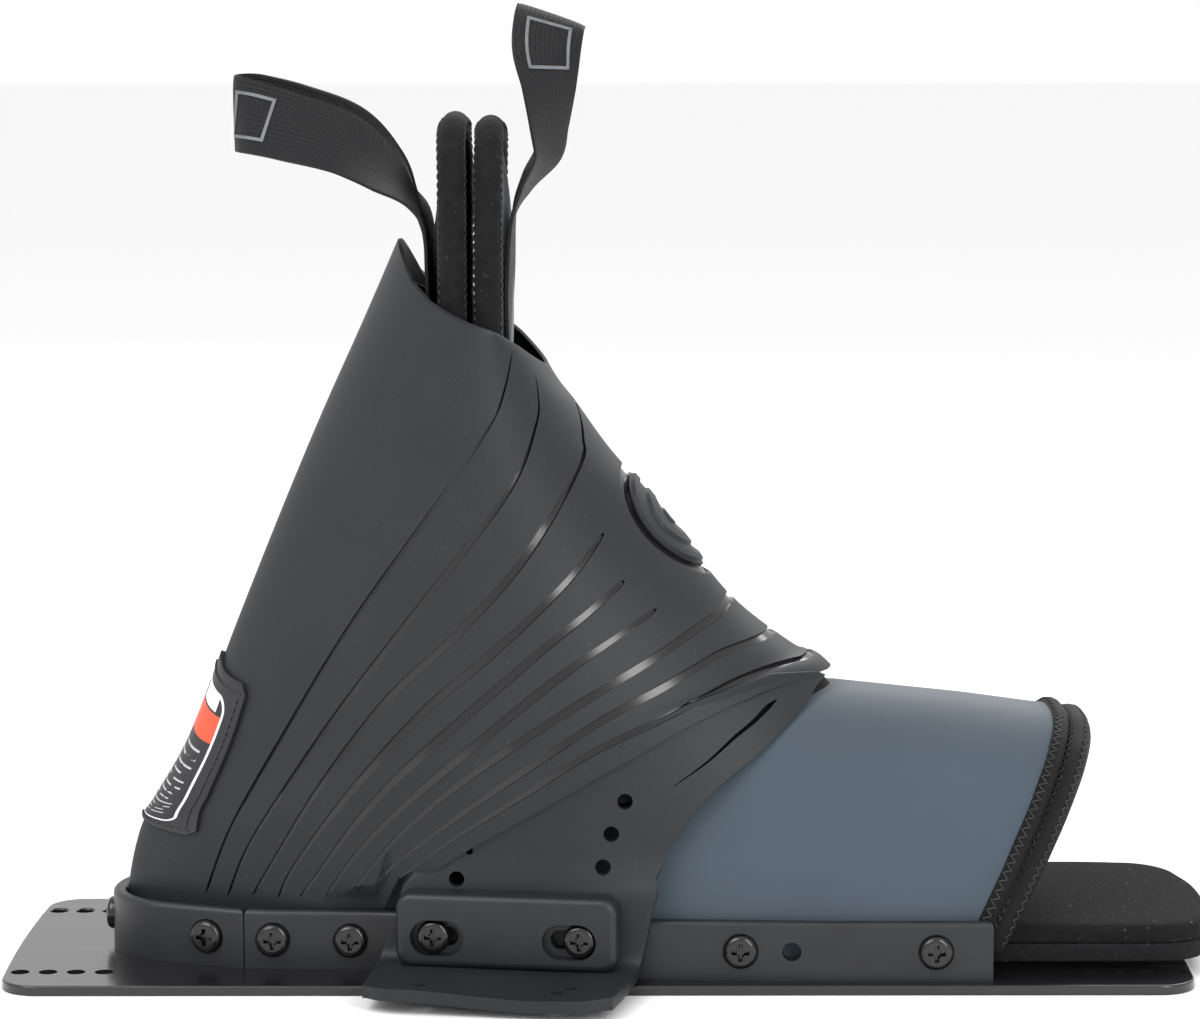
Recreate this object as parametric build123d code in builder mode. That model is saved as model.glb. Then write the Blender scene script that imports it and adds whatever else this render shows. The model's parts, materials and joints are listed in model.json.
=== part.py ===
"""Water-ski boot binding on its mounting plate.

Millimetres. +X points to the toe, +Y to the far side, +Z up. The origin is the
centre of the plate's underside, so the binding stands on z = 0.
"""
from build123d import *
from math import atan2, cos, hypot, pi, radians, sin
import os

os.makedirs("parts", exist_ok=True)

# ---------------------------------------------------------------- plate
plate_length = 406.4
plate_width = 127.0
plate_thickness = 3.175
plate_corner = 13.0
end_bow = 2.0                       # the ends bulge by this much at the middle
hole_radius = 3.175
hole_pitch = 9.525
end_hole_x = 196.85
hole_row_y = 44.45
holes_per_row = 4

# ---------------------------------------------------------------- rails
rail_height = 20.3
rail_wall = 4.8
rail_edge_round = 2.0
rail_front_x = 133.0
rail_seam_x = -121.0
seam_gap = 0.4
heel_centre_x = -139.1
heel_radius = 31.3
far_front_x = 230.0                 # plan outlines run past every clipped front
side_points = [(far_front_x, -58.5), (80, -58.5), (18, -55.3), (-75, -42), (-121, -40)]
heel_tangent_angle = 110.2          # where the side meets the heel's round
side_bend_radius = 60.0

# ---------------------------------------------------------------- brackets and footbed
bracket_inset = 9.8                 # outer face of the upright leg, from the rail's outside
bracket_wall = 2.5
bracket_top = 20.0
flange_thickness = 3.175
flange_inset = 27.0
bracket_front_x = 121.0
footbed_inset = 13.6
foam_thickness = 6.65
toe_pad_near_y = -44.5
toe_pad_far_y = 54.0
toe_pad_tip_x = 211.0
toe_pad_bow = 4.0
toe_pad_corner = 22.0

# ---------------------------------------------------------------- fasteners
screw_height = 13.3
clamp_screw_height = 18.5
head_radius = 5.7
head_height = 3.4
shank_radius = 2.9
thread_hole_radius = 2.95
clear_hole_radius = 3.25
counterbore_radius = 6.1
counterbore_depth = 1.0
rail_screw_xs = (-111.0, -84.4, 48.0, 113.8)
heel_screw_x = -134.2
spare_hole_x = 65.2
clamp_screw_xs = (-53.7, -4.4)
rivet_radius = 2.4
rivet_head_radius = 4.4
rivet_recess = 0.3
rivet_xs = (-104.0, -30.0, 40.0, 112.0)

# ---------------------------------------------------------------- clamp plates
clamp_length = 75.4
clamp_height = 25.2
clamp_bottom = 8.2
clamp_wall = 9.2
clamp_inner = 5.2                   # inner face, outwards from the rail's outside
clamp_centre_x = -29.0
pocket_length = 18.3
pocket_height = 12.2
pocket_depth = 4.2
slot_length = 13.6
slot_width = 6.6
pocket_shift = (1.5, -3.4)          # pocket centre from its screw, along the clamp

# ---------------------------------------------------------------- rubber shell
shell_wall = 4.5
sock_gap = 0.6
sock_wall = 3.0
shell_foot = 24.0                   # the shell's wide part starts above the rails
wing_outer = 4.8
wing_inner = 0.3
wing_back_x = -72.0
wing_front_x = 14.0
wing_skirt_reach = 45.0
skirt_low = 3.4
skirt_thickness = 4.3
wing_hole_radius = 2.75
wing_holes = [(9.1, 64.2), (4.5, 53.0), (1.7, 41.8)]

# ---------------------------------------------------------------- toe piece
toe_wall = 3.0
toe_liner_wall = 2.6
toe_edge_low = (127.5, 20.0)        # two points of the slanted front edge, X and Z
toe_edge_high = (157.5, 86.0)
binding_width = 5.2
liner_binding_width = 6.4

# ---------------------------------------------------------------- cuff and loops
cuff_top = 288.0
cuff_foot = 188.0
cuff_half = 33.0
cuff_roll_radius = 4.9
cuff_wall = 5.0
rear_cuff_x = -48.6
front_cuff_x = -37.0
cuff_bulge = 5.0
webbing_width = 25.4
webbing_thickness = 1.8


# Geometry shared by several pieces
def tangent_point():
    """Where the straight side of the plan outline meets the heel's round, near side."""
    angle = radians(heel_tangent_angle)
    return heel_centre_x + heel_radius * cos(angle), -heel_radius * sin(angle)


def side_point(x):
    """A point of the near side's plan outline and its outward direction."""
    stations = side_points + [tangent_point()]
    for (x1, y1), (x0, y0) in zip(stations, stations[1:]):
        if x0 <= x <= x1:
            y = y0 + (y1 - y0) * (x - x0) / (x1 - x0)
            run = hypot(x1 - x0, y1 - y0)
            return Vector(x, y, 0), Vector((y1 - y0) / run, -(x1 - x0) / run, 0)
    raise ValueError(f"x = {x} is off the outline")


def footprint(inset):
    """The rails' plan outline, moved inwards by inset (outwards if negative)."""
    with BuildSketch() as plan:
        with BuildLine():
            near = FilletPolyline(*side_points, tangent_point(), radius=side_bend_radius)
            mirror(near, about=Plane.XZ)
            CenterArc((heel_centre_x, 0), heel_radius, heel_tangent_angle,
                      360 - 2 * heel_tangent_angle)
            Line(side_points[0], (side_points[0][0], -side_points[0][1]))
        make_face()
        if inset:
            offset(amount=-inset)
    return plan.sketch


def band(outer_inset, inner_inset, x_low, x_high, side=0):
    """A strip that follows the outline, cut to a range of X and to one side."""
    with BuildSketch() as strip:
        add(footprint(outer_inset))
        add(footprint(inner_inset), mode=Mode.SUBTRACT)
        width = 400
        with Locations(((x_low + x_high) / 2, side * width / 2)):
            Rectangle(x_high - x_low, width if side else 2 * width, mode=Mode.INTERSECT)
    return strip.sketch


def outward_plane(x, side, height, outset=0.0):
    """A plane on the rail's outer face: its normal points out, its X runs along the rail."""
    point, normal = side_point(x)
    origin = point + normal * outset
    return Plane(origin=(origin.X, -side * origin.Y, height),
                 x_dir=(-side * normal.Y, -normal.X, 0) if side > 0 else (-normal.Y, normal.X, 0),
                 z_dir=(normal.X, -side * normal.Y, 0))


def heel_plane(height, outset=0.0):
    """The same at the middle of the heel."""
    return Plane(origin=(heel_centre_x - heel_radius - outset, 0, height),
                 x_dir=(0, -1, 0), z_dir=(-1, 0, 0))


rail_screw_planes = [outward_plane(x, side, screw_height) for side in (-1, 1)
                     for x in rail_screw_xs]
heel_screw_planes = [outward_plane(heel_screw_x, side, screw_height) for side in (-1, 1)]
heel_screw_planes.append(heel_plane(screw_height))
clamp_screw_planes = [outward_plane(x, side, clamp_screw_height) for side in (-1, 1)
                      for x in clamp_screw_xs]
all_screw_planes = rail_screw_planes + heel_screw_planes + clamp_screw_planes


def drill(planes, radius, outset=12.0, depth=32.0):
    """Cut a round hole through the current part along each plane's normal."""
    if planes:
        with Locations(*[place.offset(outset) for place in planes]):
            Cylinder(radius, depth, mode=Mode.SUBTRACT,
                     align=(Align.CENTER, Align.CENTER, Align.MAX))


def screw(place, length, seat=0.0):
    """One pan-head cross screw whose head seats below the plane by seat."""
    with BuildPart() as body:
        with BuildSketch(place.offset(-seat)):
            Circle(head_radius)
        extrude(amount=head_height)
        top = body.edges().filter_by(GeomType.CIRCLE).sort_by_distance(
            place.offset(head_height + 50).origin)[0]
        fillet(top, 2.0)
        with BuildSketch(place.offset(head_height - seat)):
            Rectangle(6.0, 1.5)
            Rectangle(1.5, 6.0)
            Circle(1.7)
        extrude(amount=-2.0, taper=12, mode=Mode.SUBTRACT)
        with BuildSketch(place.offset(-seat)):
            Circle(shank_radius)
        extrude(amount=-length)
    return body.part


def save(part, name):
    part.label = name
    export_step(part, f"parts/{name}.step")
    print(f"{name}: {len(part.solids())} solid(s), {part.volume:.0f} mm3")


# ================================================================ plate
with BuildPart() as base_plate:
    half_length = plate_length / 2
    half_width = plate_width / 2
    with BuildSketch() as plate_plan:
        with BuildLine():
            heel_end = ThreePointArc((end_bow - half_length, -half_width), (-half_length, 0),
                                     (end_bow - half_length, half_width))
            toe_end = ThreePointArc((half_length - end_bow, -half_width), (half_length, 0),
                                    (half_length - end_bow, half_width))
            Line(heel_end @ 0, toe_end @ 0)
            Line(heel_end @ 1, toe_end @ 1)
        make_face()
        fillet(plate_plan.vertices(), plate_corner)
        for end in (-1, 1):
            middle = end * (end_hole_x - hole_pitch * (holes_per_row - 1) / 2)
            with Locations((middle, 0)):
                with GridLocations(hole_pitch, 2 * hole_row_y, holes_per_row, 2):
                    Circle(hole_radius, mode=Mode.SUBTRACT)
    extrude(amount=plate_thickness)
    fillet(base_plate.edges().group_by(Axis.Z)[-1].sort_by(SortBy.LENGTH)[-8:], 0.8)


def rivet_spots(side):
    spots = []
    for x in rivet_xs:
        point, normal = side_point(x)
        middle = point - normal * (bracket_inset + flange_inset) / 2
        spots.append((middle.X, -side * middle.Y))
    return spots


heel_rivet_spots = [(heel_centre_x - heel_radius + 19.5, 0)]
all_rivet_spots = rivet_spots(-1) + rivet_spots(1) + heel_rivet_spots

with BuildPart(mode=Mode.PRIVATE) as rivet_cutter:
    with Locations(*[(x, y, 0) for x, y in all_rivet_spots]):
        Cylinder(rivet_radius, 3 * plate_thickness, align=(Align.CENTER, Align.CENTER, Align.CENTER))

with BuildPart() as plate_with_holes:
    add(base_plate.part)
    add(rivet_cutter.part, mode=Mode.SUBTRACT)
save(plate_with_holes.part, "base_plate")

with BuildPart() as bracket_rivets:
    sink = rivet_head_radius - rivet_radius
    for x, y in all_rivet_spots:
        with Locations((x, y, rivet_recess)):
            Cylinder(rivet_radius - 0.05, plate_thickness + flange_thickness - rivet_recess,
                     align=(Align.CENTER, Align.CENTER, Align.MIN))
        with Locations((x, y, plate_thickness + flange_thickness - sink)):
            Cone(rivet_radius - 0.05, rivet_head_radius - 0.05, sink,
                 align=(Align.CENTER, Align.CENTER, Align.MIN))
save(bracket_rivets.part, "bracket_rivets")


# ================================================================ brackets
def bracket(x_low, x_high, side, planes):
    """An angle along the outline: an upright leg and a floor flange, tapped and drilled."""
    with BuildPart() as angle:
        with BuildSketch(Plane.XY.offset(plate_thickness)):
            add(band(bracket_inset, bracket_inset + bracket_wall, x_low, x_high, side))
        extrude(amount=bracket_top - plate_thickness)
        with BuildSketch(Plane.XY.offset(plate_thickness)):
            add(band(bracket_inset, flange_inset, x_low, x_high, side))
        extrude(amount=flange_thickness)
        drill(planes, thread_hole_radius, outset=1.0)
        sink = rivet_head_radius - rivet_radius
        for x, y in all_rivet_spots:
            with Locations((x, y, plate_thickness)):
                Cylinder(rivet_radius, flange_thickness, mode=Mode.SUBTRACT,
                         align=(Align.CENTER, Align.CENTER, Align.MIN))
            with Locations((x, y, plate_thickness + flange_thickness - sink)):
                Cone(rivet_radius, rivet_head_radius, sink, mode=Mode.SUBTRACT,
                     align=(Align.CENTER, Align.CENTER, Align.MIN))
    return angle.part


heel_back_x = heel_centre_x - heel_radius
save(bracket(heel_back_x, rail_seam_x - 1, 0, heel_screw_planes), "heel_bracket")
for side, word in ((-1, "near"), (1, "far")):
    planes = [place for place in rail_screw_planes + clamp_screw_planes
              if place.origin.Y * side > 0]
    save(bracket(rail_seam_x + 1, bracket_front_x, side, planes), f"side_bracket_{word}")


# ================================================================ footbed
def footbed_plan():
    """The foam's outline: the boot's inside, then a wider round-ended toe."""
    with BuildSketch() as plan:
        with BuildLine():
            tip = ThreePointArc((toe_pad_tip_x - toe_pad_bow, toe_pad_near_y), (toe_pad_tip_x, 5),
                                (toe_pad_tip_x - toe_pad_bow, toe_pad_far_y))
            Polyline(tip @ 1, (160, toe_pad_far_y), (132, -toe_pad_near_y), (120, -toe_pad_near_y),
                     (120, toe_pad_near_y), tip @ 0)
        make_face()
        fillet(plan.vertices().group_by(Axis.X)[-1], toe_pad_corner)
        with BuildSketch(mode=Mode.PRIVATE) as boot_part:
            add(footprint(footbed_inset))
            with Locations((-30, 0)):
                Rectangle(320, 200, mode=Mode.INTERSECT)
        add(boot_part.sketch)
    return plan.sketch


footbed_low = plate_thickness + flange_thickness
with BuildPart() as footbed_base:
    with BuildSketch(Plane.XY.offset(footbed_low)):
        add(footbed_plan())
    extrude(amount=foam_thickness)
save(footbed_base.part, "footbed_base")

with BuildPart() as footbed_top:
    with BuildSketch(Plane.XY.offset(footbed_low + foam_thickness)):
        add(footbed_plan())
    extrude(amount=foam_thickness)
save(footbed_top.part, "footbed_top")


# ================================================================ rails
def rail(x_low, x_high, side, planes, plain_planes=()):
    """A moulded rail: a strip on edge with a rounded top, counterbored for its screws."""
    with BuildPart() as strip:
        with BuildSketch(Plane.XY.offset(plate_thickness)):
            add(band(0, rail_wall, x_low, x_high, side))
        extrude(amount=rail_height)
        fillet(strip.edges().group_by(Axis.Z)[-1], rail_edge_round)
        drill(planes, clear_hole_radius)
        drill(plain_planes, clear_hole_radius)
        drill(planes, counterbore_radius, depth=12.0 + counterbore_depth)
    return strip.part


half_seam = seam_gap / 2
save(rail(heel_back_x - 1, rail_seam_x - half_seam, 0, heel_screw_planes), "heel_rail")
for side, word in ((-1, "near"), (1, "far")):
    visible = [place for place in rail_screw_planes if place.origin.Y * side > 0]
    hidden = [place for place in clamp_screw_planes if place.origin.Y * side > 0]
    hidden.append(outward_plane(spare_hole_x, side, screw_height))
    save(rail(rail_seam_x + half_seam, rail_front_x, side, visible, hidden), f"side_rail_{word}")

screw_length = bracket_inset + bracket_wall + 1.0
with BuildPart() as heel_rail_screws:
    for place in heel_screw_planes:
        add(screw(place, screw_length - counterbore_depth, seat=counterbore_depth))
save(heel_rail_screws.part, "heel_rail_screws")

with BuildPart() as side_rail_screws:
    for place in rail_screw_planes:
        add(screw(place, screw_length - counterbore_depth, seat=counterbore_depth))
save(side_rail_screws.part, "side_rail_screws")

pocket_floor = clamp_inner + clamp_wall - pocket_depth
with BuildPart() as clamp_screws:
    for place in clamp_screw_planes:
        add(screw(place.offset(pocket_floor + 0.35), screw_length + pocket_floor + 0.35))
save(clamp_screws.part, "clamp_screws")


# ================================================================ clamp plates
def clamp_plate(side):
    """A crowned bar with two slotted pockets for its screws."""
    middle_height = clamp_bottom + clamp_height / 2
    face = outward_plane(clamp_centre_x, side, middle_height, clamp_inner)
    with BuildPart() as bar:
        with BuildSketch(face):
            RectangleRounded(clamp_length, clamp_height, 5.5)
        extrude(amount=clamp_wall)
        outer = bar.faces().sort_by_distance(face.offset(60).origin)[0]
        fillet(outer.edges(), 2.6)
        for x, shift in zip(clamp_screw_xs, pocket_shift):
            place = outward_plane(x, side, clamp_screw_height, clamp_inner)
            along = place.x_dir if place.x_dir.X > 0 else place.x_dir * -1
            centre = Plane(origin=place.origin + along * shift, x_dir=place.x_dir,
                           z_dir=place.z_dir)
            with BuildSketch(centre.offset(clamp_wall)):
                SlotOverall(pocket_length, pocket_height)
            extrude(amount=-pocket_depth, mode=Mode.SUBTRACT)
            with BuildSketch(centre.offset(clamp_wall)):
                SlotOverall(slot_length, slot_width)
            extrude(amount=-clamp_wall, mode=Mode.SUBTRACT)
    return bar.part


save(clamp_plate(-1), "clamp_plate_near")
save(clamp_plate(1), "clamp_plate_far")


# ================================================================ rubber shell
# Each ring of the boot lies in a plane that leans from heel to instep. A ring
# is: rear point (X, Z), front point (X, Z), half width, fullness, skew.
rings = [
    ((-54.0, 285.0), (-32.0, 236.0), 45.0, 0.50, 1.00),
    ((-68.0, 252.0), (-18.0, 207.0), 45.5, 0.50, 1.00),
    ((-81.5, 222.0), (-6.5, 192.0), 45.5, 0.52, 1.02),
    ((-109.0, 158.5), (15.0, 164.5), 46.0, 0.55, 1.08),
    ((-127.0, 114.5), (27.0, 151.0), 47.0, 0.54, 1.14),
    ((-143.0, 76.5), (48.0, 124.5), 49.0, 0.53, 1.22),
    ((-160.0, 45.5), (81.0, 101.5), 53.5, 0.52, 1.32),
    ((-165.2, 24.0), (112.0, 62.0), 55.4, 0.50, 1.40),
    ((-165.4, 3.0), (118.0, 32.0), 55.4, 0.50, 1.42),
]
ring_points = 13


def boot_solid(inset):
    """The boot's closed form, moved inwards by inset."""
    with BuildPart() as form:
        for (rear_x, rear_z), (front_x, front_z), half_width, fullness, skew in rings:
            tilt = atan2(front_z - rear_z, front_x - rear_x)
            length = hypot(front_x - rear_x, front_z - rear_z) - 2 * inset
            start = (rear_x + inset * cos(tilt), 0, rear_z + inset * sin(tilt))
            leaning = Plane(origin=start, x_dir=(cos(tilt), 0, sin(tilt)),
                            z_dir=(-sin(tilt), 0, cos(tilt)))
            side = []
            for step in range(1, ring_points):
                share = (1 - cos(pi * step / ring_points)) / 2
                reach = sin(pi * share ** skew) ** fullness * (half_width - inset)
                side.append((share * length, reach))
            loop = [(0, 0)] + side + [(length, 0)] + [(x, -y) for x, y in reversed(side)]
            with BuildSketch(leaning):
                with BuildLine():
                    Polyline(*loop, close=True)
                make_face()
        loft(ruled=True)
    return form.part


def side_cut(points):
    """A slab through the whole width whose outline is given in X and Z."""
    with BuildPart() as slab:
        with BuildSketch(Plane.XZ):
            Polygon(*points, align=None)
        extrude(amount=150, both=True)
    return slab.part


rim_line = [(-16.0, 205.5), (-26.0, 213.0), (-44.0, 222.0), (-56.0, 230.0),
            (-63.0, 238.0), (-69.0, 251.0)]
wing_front_line = [(15.5, 24.0), (20.5, 39.0), (27.0, 52.0), (36.5, 66.5), (52.0, 82.0),
                   (77.0, 97.0), (83.0, 102.0)]
shell_outline = ([(-190, shell_foot)] + wing_front_line
                 + [(110, 150), (40, 212)] + rim_line + [(-190, 290)])

boot_outer = boot_solid(0)
boot_inner = boot_solid(shell_wall)

rail_line_start = side_points[3]
_, wing_normal = side_point(clamp_centre_x)


def wing_skirt(side):
    """The flange at the foot of a wing: it lies over the plate's edge."""
    along = Vector(-wing_normal.Y, wing_normal.X, 0)
    base = Plane(origin=(rail_line_start[0], -side * rail_line_start[1], skirt_low),
                 x_dir=(along.X, -side * along.Y, 0), z_dir=(0, 0, 1))
    sign = 1 if side > 0 else -1
    with BuildPart() as skirt:
        with BuildSketch(base) as plan:
            with BuildLine():
                Polyline((6, sign * wing_inner), (1, sign * wing_skirt_reach),
                         (80, sign * wing_skirt_reach), (88, sign * 22),
                         (90, sign * wing_inner), close=True)
            make_face()
            fillet(plan.vertices().sort_by(Axis.Y)[:2] if side < 0
                   else plan.vertices().sort_by(Axis.Y)[-2:], 7)
        extrude(amount=skirt_thickness)
    return skirt.part


with BuildPart() as rubber_shell:
    add(boot_outer)
    add(side_cut(shell_outline), mode=Mode.INTERSECT)
    add(boot_inner, mode=Mode.SUBTRACT)
    # heel skirt, inside the heel rail
    with BuildSketch(Plane.XY.offset(skirt_low)):
        add(band(rail_wall + 0.15, rail_wall + 0.15 + shell_wall, heel_back_x, -76))
    extrude(amount=shell_foot - skirt_low + 4)
    # wings, outside the side rails
    for side in (-1, 1):
        with BuildSketch(Plane.XY.offset(skirt_low)):
            add(band(-wing_outer, -wing_inner, wing_back_x, wing_front_x, side))
        extrude(amount=shell_foot - skirt_low + 12)
        add(wing_skirt(side))
    drill(all_screw_planes, clear_hole_radius)
    for x, z in wing_holes:
        with BuildSketch(Plane.XZ):
            with Locations((x, z)):
                Circle(wing_hole_radius)
        extrude(amount=150, both=True, mode=Mode.SUBTRACT)
save(rubber_shell.part, "rubber_shell")

sock_outer = boot_solid(shell_wall + sock_gap)
sock_inner = boot_solid(shell_wall + sock_gap + sock_wall)
sock_outline = [(-190, shell_foot + 6), (-30, shell_foot + 6), (-20, 60), (10, 100), (60, 165),
                (40, 190), (-40, 182), (-190, 182)]
with BuildPart() as inner_sock:
    add(sock_outer)
    add(side_cut(sock_outline), mode=Mode.INTERSECT)
    add(sock_inner, mode=Mode.SUBTRACT)
save(inner_sock.part, "inner_sock")

patch_outline = [(-140, 122), (-116.5, 97.5), (-133.5, 51.0), (-139.0, 42.0), (-175, 46)]
with BuildPart() as heel_patch:
    add(boot_solid(-1.5))
    add(side_cut(patch_outline), mode=Mode.INTERSECT)
    add(boot_solid(-0.2), mode=Mode.SUBTRACT)
save(heel_patch.part, "heel_patch")


# ================================================================ toe piece
toe_stations = [(-12.0, 45.0, 74.0), (18.0, 49.7, 88.0), (82.0, 52.8, 95.0), (128.0, 53.0, 90.0),
                (185.0, 53.0, 83.0)]
toe_foot = 3.4


def toe_solid(inset):
    """The toe piece's closed form: arches along X, moved inwards by inset."""
    with BuildPart() as form:
        for x, half_width, height in toe_stations:
            reach = half_width - inset
            top = height - toe_foot - inset
            arch = []
            for step in range(1, 12):
                turn = pi * step / 12
                across = cos(turn)
                share = abs(across) ** 0.72 * reach
                arch.append((share if across > 0 else -share, top * sin(turn) ** 0.72))
            with BuildSketch(Plane(origin=(x, 0, toe_foot), x_dir=(0, 1, 0), z_dir=(1, 0, 0))):
                with BuildLine():
                    Spline((reach, 0), *arch, (-reach, 0))
                    Line((-reach, 0), (reach, 0))
                make_face()
        loft(ruled=True)
    return form.part


def edge_x(z, shift=0.0):
    """X of the slanted front edge at a height."""
    (x0, z0), (x1, z1) = toe_edge_low, toe_edge_high
    return x0 + (x1 - x0) * (z - z0) / (z1 - z0) + shift


def toe_slice(outer_inset, inner_inset, start, end, low=0.0):
    """A sleeve between two slanted fronts; start None takes it back under the shell."""
    cut = [(edge_x(low, end), low), (edge_x(120, end), 120)]
    if start is None:
        cut += [(-5, 120), (-5, low)]
    else:
        cut += [(edge_x(120, start), 120), (edge_x(low, start), low)]
    with BuildPart() as sleeve:
        add(toe_solid(outer_inset))
        add(toe_solid(inner_inset), mode=Mode.SUBTRACT)
        add(side_cut(cut), mode=Mode.INTERSECT)
        drill(all_screw_planes, clear_hole_radius)
    return sleeve.part


with BuildPart() as toe_cover:
    add(toe_slice(0, toe_wall, None, 0.0))
    add(rubber_shell.part, mode=Mode.SUBTRACT)
save(toe_cover.part, "toe_cover")
save(toe_slice(-0.6, toe_wall, 0.1, binding_width), "toe_cover_binding")
save(toe_slice(toe_wall + 0.2, toe_wall + toe_liner_wall, None, binding_width,
               low=bracket_top + 1), "toe_liner")
save(toe_slice(-0.4, toe_wall + toe_liner_wall, binding_width + 0.2,
               binding_width + liner_binding_width), "toe_liner_binding")


# ================================================================ ankle cuff
def cuff_plan(x, bulge, grow, thickness, y_low=-cuff_half, y_high=cuff_half):
    """A bowed strip in plan, grow away from the panel's middle line."""
    shift = grow if bulge > 0 else -grow
    with BuildSketch() as strip:
        with BuildLine():
            inner = ThreePointArc((x + shift, -cuff_half), (x + bulge + shift, 0),
                                  (x + shift, cuff_half))
            outward = thickness if bulge > 0 else -thickness
            outer = ThreePointArc((x + shift + outward, -cuff_half),
                                  (x + bulge + shift + outward, 0),
                                  (x + shift + outward, cuff_half))
            Line(inner @ 0, outer @ 0)
            Line(inner @ 1, outer @ 1)
        make_face()
        with Locations((x, (y_low + y_high) / 2)):
            Rectangle(60, y_high - y_low, mode=Mode.INTERSECT)
    return strip.sketch


def cuff_roll(x):
    """The padded roll round a panel's two upright edges and its top."""
    with BuildPart() as roll:
        with BuildLine() as path:
            FilletPolyline((x, -cuff_half, cuff_foot), (x, -cuff_half, cuff_top),
                           (x, cuff_half, cuff_top), (x, cuff_half, cuff_foot), radius=16)
        with BuildSketch(Plane(origin=path.line @ 0, z_dir=path.line % 0)):
            Circle(cuff_roll_radius)
        sweep()
    return roll.part


def cuff_panel(x, bulge, roll):
    with BuildPart() as panel:
        with BuildSketch(Plane.XY.offset(cuff_foot)):
            add(cuff_plan(x, bulge, -cuff_wall / 2, cuff_wall))
        extrude(amount=cuff_top - cuff_foot)
        with BuildSketch(Plane.YZ.offset(x)):
            with Locations((0, (cuff_foot + cuff_top) / 2)):
                RectangleRounded(2 * cuff_half, cuff_top - cuff_foot, 15)
        extrude(amount=60, both=True, mode=Mode.INTERSECT)
        add(roll, mode=Mode.SUBTRACT)
    return panel.part


def strap_tails(x, bulge, top):
    """Two strips of webbing sewn flat on a panel."""
    with BuildPart() as tails:
        for side in (-1, 1):
            inner_edge = side * 2.0
            outer_edge = side * (2.0 + webbing_width)
            with BuildSketch(Plane.XY.offset(cuff_foot + 12)):
                add(cuff_plan(x, bulge, cuff_wall / 2 + 0.1, webbing_thickness,
                              min(inner_edge, outer_edge), max(inner_edge, outer_edge)))
            extrude(amount=top - cuff_foot - 12)
    return tails.part


for word, x, bulge, tail_top in (("rear", rear_cuff_x, -cuff_bulge, 262.0),
                                 ("front", front_cuff_x, cuff_bulge, 266.0)):
    roll = cuff_roll(x)
    save(roll, f"{word}_cuff_binding")
    save(cuff_panel(x, bulge, roll), f"liner_{word}_panel")
    save(strap_tails(x, bulge, tail_top), f"{word}_strap_tails")


# ================================================================ pull loops
def pull_loop(place, legs_apart, length, width, start):
    """A U of webbing: legs along the plane's X, the band's width along its normal."""
    bend = legs_apart / 2
    with BuildPart() as loop:
        with BuildSketch(place.offset(-width / 2)):
            with BuildLine():
                Line((start, -bend), (length - bend, -bend))
                ThreePointArc((length - bend, -bend), (length, 0), (length - bend, bend))
                Line((length - bend, bend), (start, bend))
                offset(amount=webbing_thickness / 2, side=Side.BOTH, closed=True)
            make_face()
        extrude(amount=width)
    return loop.part


rear_root = (-60.0, 0, 262.0)
front_root = (-19.0, 0, 268.0)
rear_lean = radians(20)
front_lean = radians(87)
rear_plane = Plane(origin=rear_root, x_dir=(-cos(rear_lean), 0, sin(rear_lean)),
                   z_dir=(sin(rear_lean), 0, cos(rear_lean)))
front_plane = Plane(origin=front_root, x_dir=(cos(front_lean), 0, sin(front_lean)),
                    z_dir=(sin(front_lean), 0, -cos(front_lean)))
save(pull_loop(rear_plane, 28.0, 68.0, webbing_width, 6.0), "rear_pull_loop")
save(pull_loop(front_plane, 28.0, 64.0, 18.0, 8.0), "front_pull_loop")
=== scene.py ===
# %% [markdown]
# # A slalom ski's boot binding, piece by piece
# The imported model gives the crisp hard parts, already in their place: plate, rails, brackets, clamps and
# screws. This lesson keeps those and gives them finishes. It builds the soft parts over them: the rubber
# boot with its fan of grooves, the padded cuff, the pull loops, the toe piece and the foam footbed.
# Everything below is worked out in millimetres and turned into metres when a mesh is made.

# %%
import json
import math
import bmesh
import bpy
import numpy as np
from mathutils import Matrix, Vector

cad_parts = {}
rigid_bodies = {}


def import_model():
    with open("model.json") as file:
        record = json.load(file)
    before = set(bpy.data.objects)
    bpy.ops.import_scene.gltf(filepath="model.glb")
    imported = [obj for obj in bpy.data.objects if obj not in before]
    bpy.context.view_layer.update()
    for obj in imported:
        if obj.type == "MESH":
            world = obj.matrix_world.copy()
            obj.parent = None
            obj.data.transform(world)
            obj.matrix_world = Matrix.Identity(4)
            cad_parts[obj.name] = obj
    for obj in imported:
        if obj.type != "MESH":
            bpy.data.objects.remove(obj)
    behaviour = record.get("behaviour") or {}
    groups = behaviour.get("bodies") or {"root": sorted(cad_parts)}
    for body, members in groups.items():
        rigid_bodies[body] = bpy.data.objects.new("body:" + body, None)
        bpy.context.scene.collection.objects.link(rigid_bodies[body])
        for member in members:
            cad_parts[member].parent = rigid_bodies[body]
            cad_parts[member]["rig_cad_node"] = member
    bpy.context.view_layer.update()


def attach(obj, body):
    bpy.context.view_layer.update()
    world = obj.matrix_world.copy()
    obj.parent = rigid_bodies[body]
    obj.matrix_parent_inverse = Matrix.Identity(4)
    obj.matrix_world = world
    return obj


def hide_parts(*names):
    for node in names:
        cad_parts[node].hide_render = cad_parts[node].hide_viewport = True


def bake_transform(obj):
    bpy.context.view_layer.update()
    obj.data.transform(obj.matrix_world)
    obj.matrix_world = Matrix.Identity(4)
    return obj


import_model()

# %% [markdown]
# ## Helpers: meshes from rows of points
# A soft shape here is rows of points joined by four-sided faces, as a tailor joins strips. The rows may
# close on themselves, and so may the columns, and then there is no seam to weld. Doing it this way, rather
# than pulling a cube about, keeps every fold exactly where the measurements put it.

MM = 0.001


def select(*objects):
    """Selects these alone and makes the first one active."""
    bpy.ops.object.select_all(action="DESELECT")
    for obj in objects:
        obj.select_set(True)
    bpy.context.view_layer.objects.active = objects[0]


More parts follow.
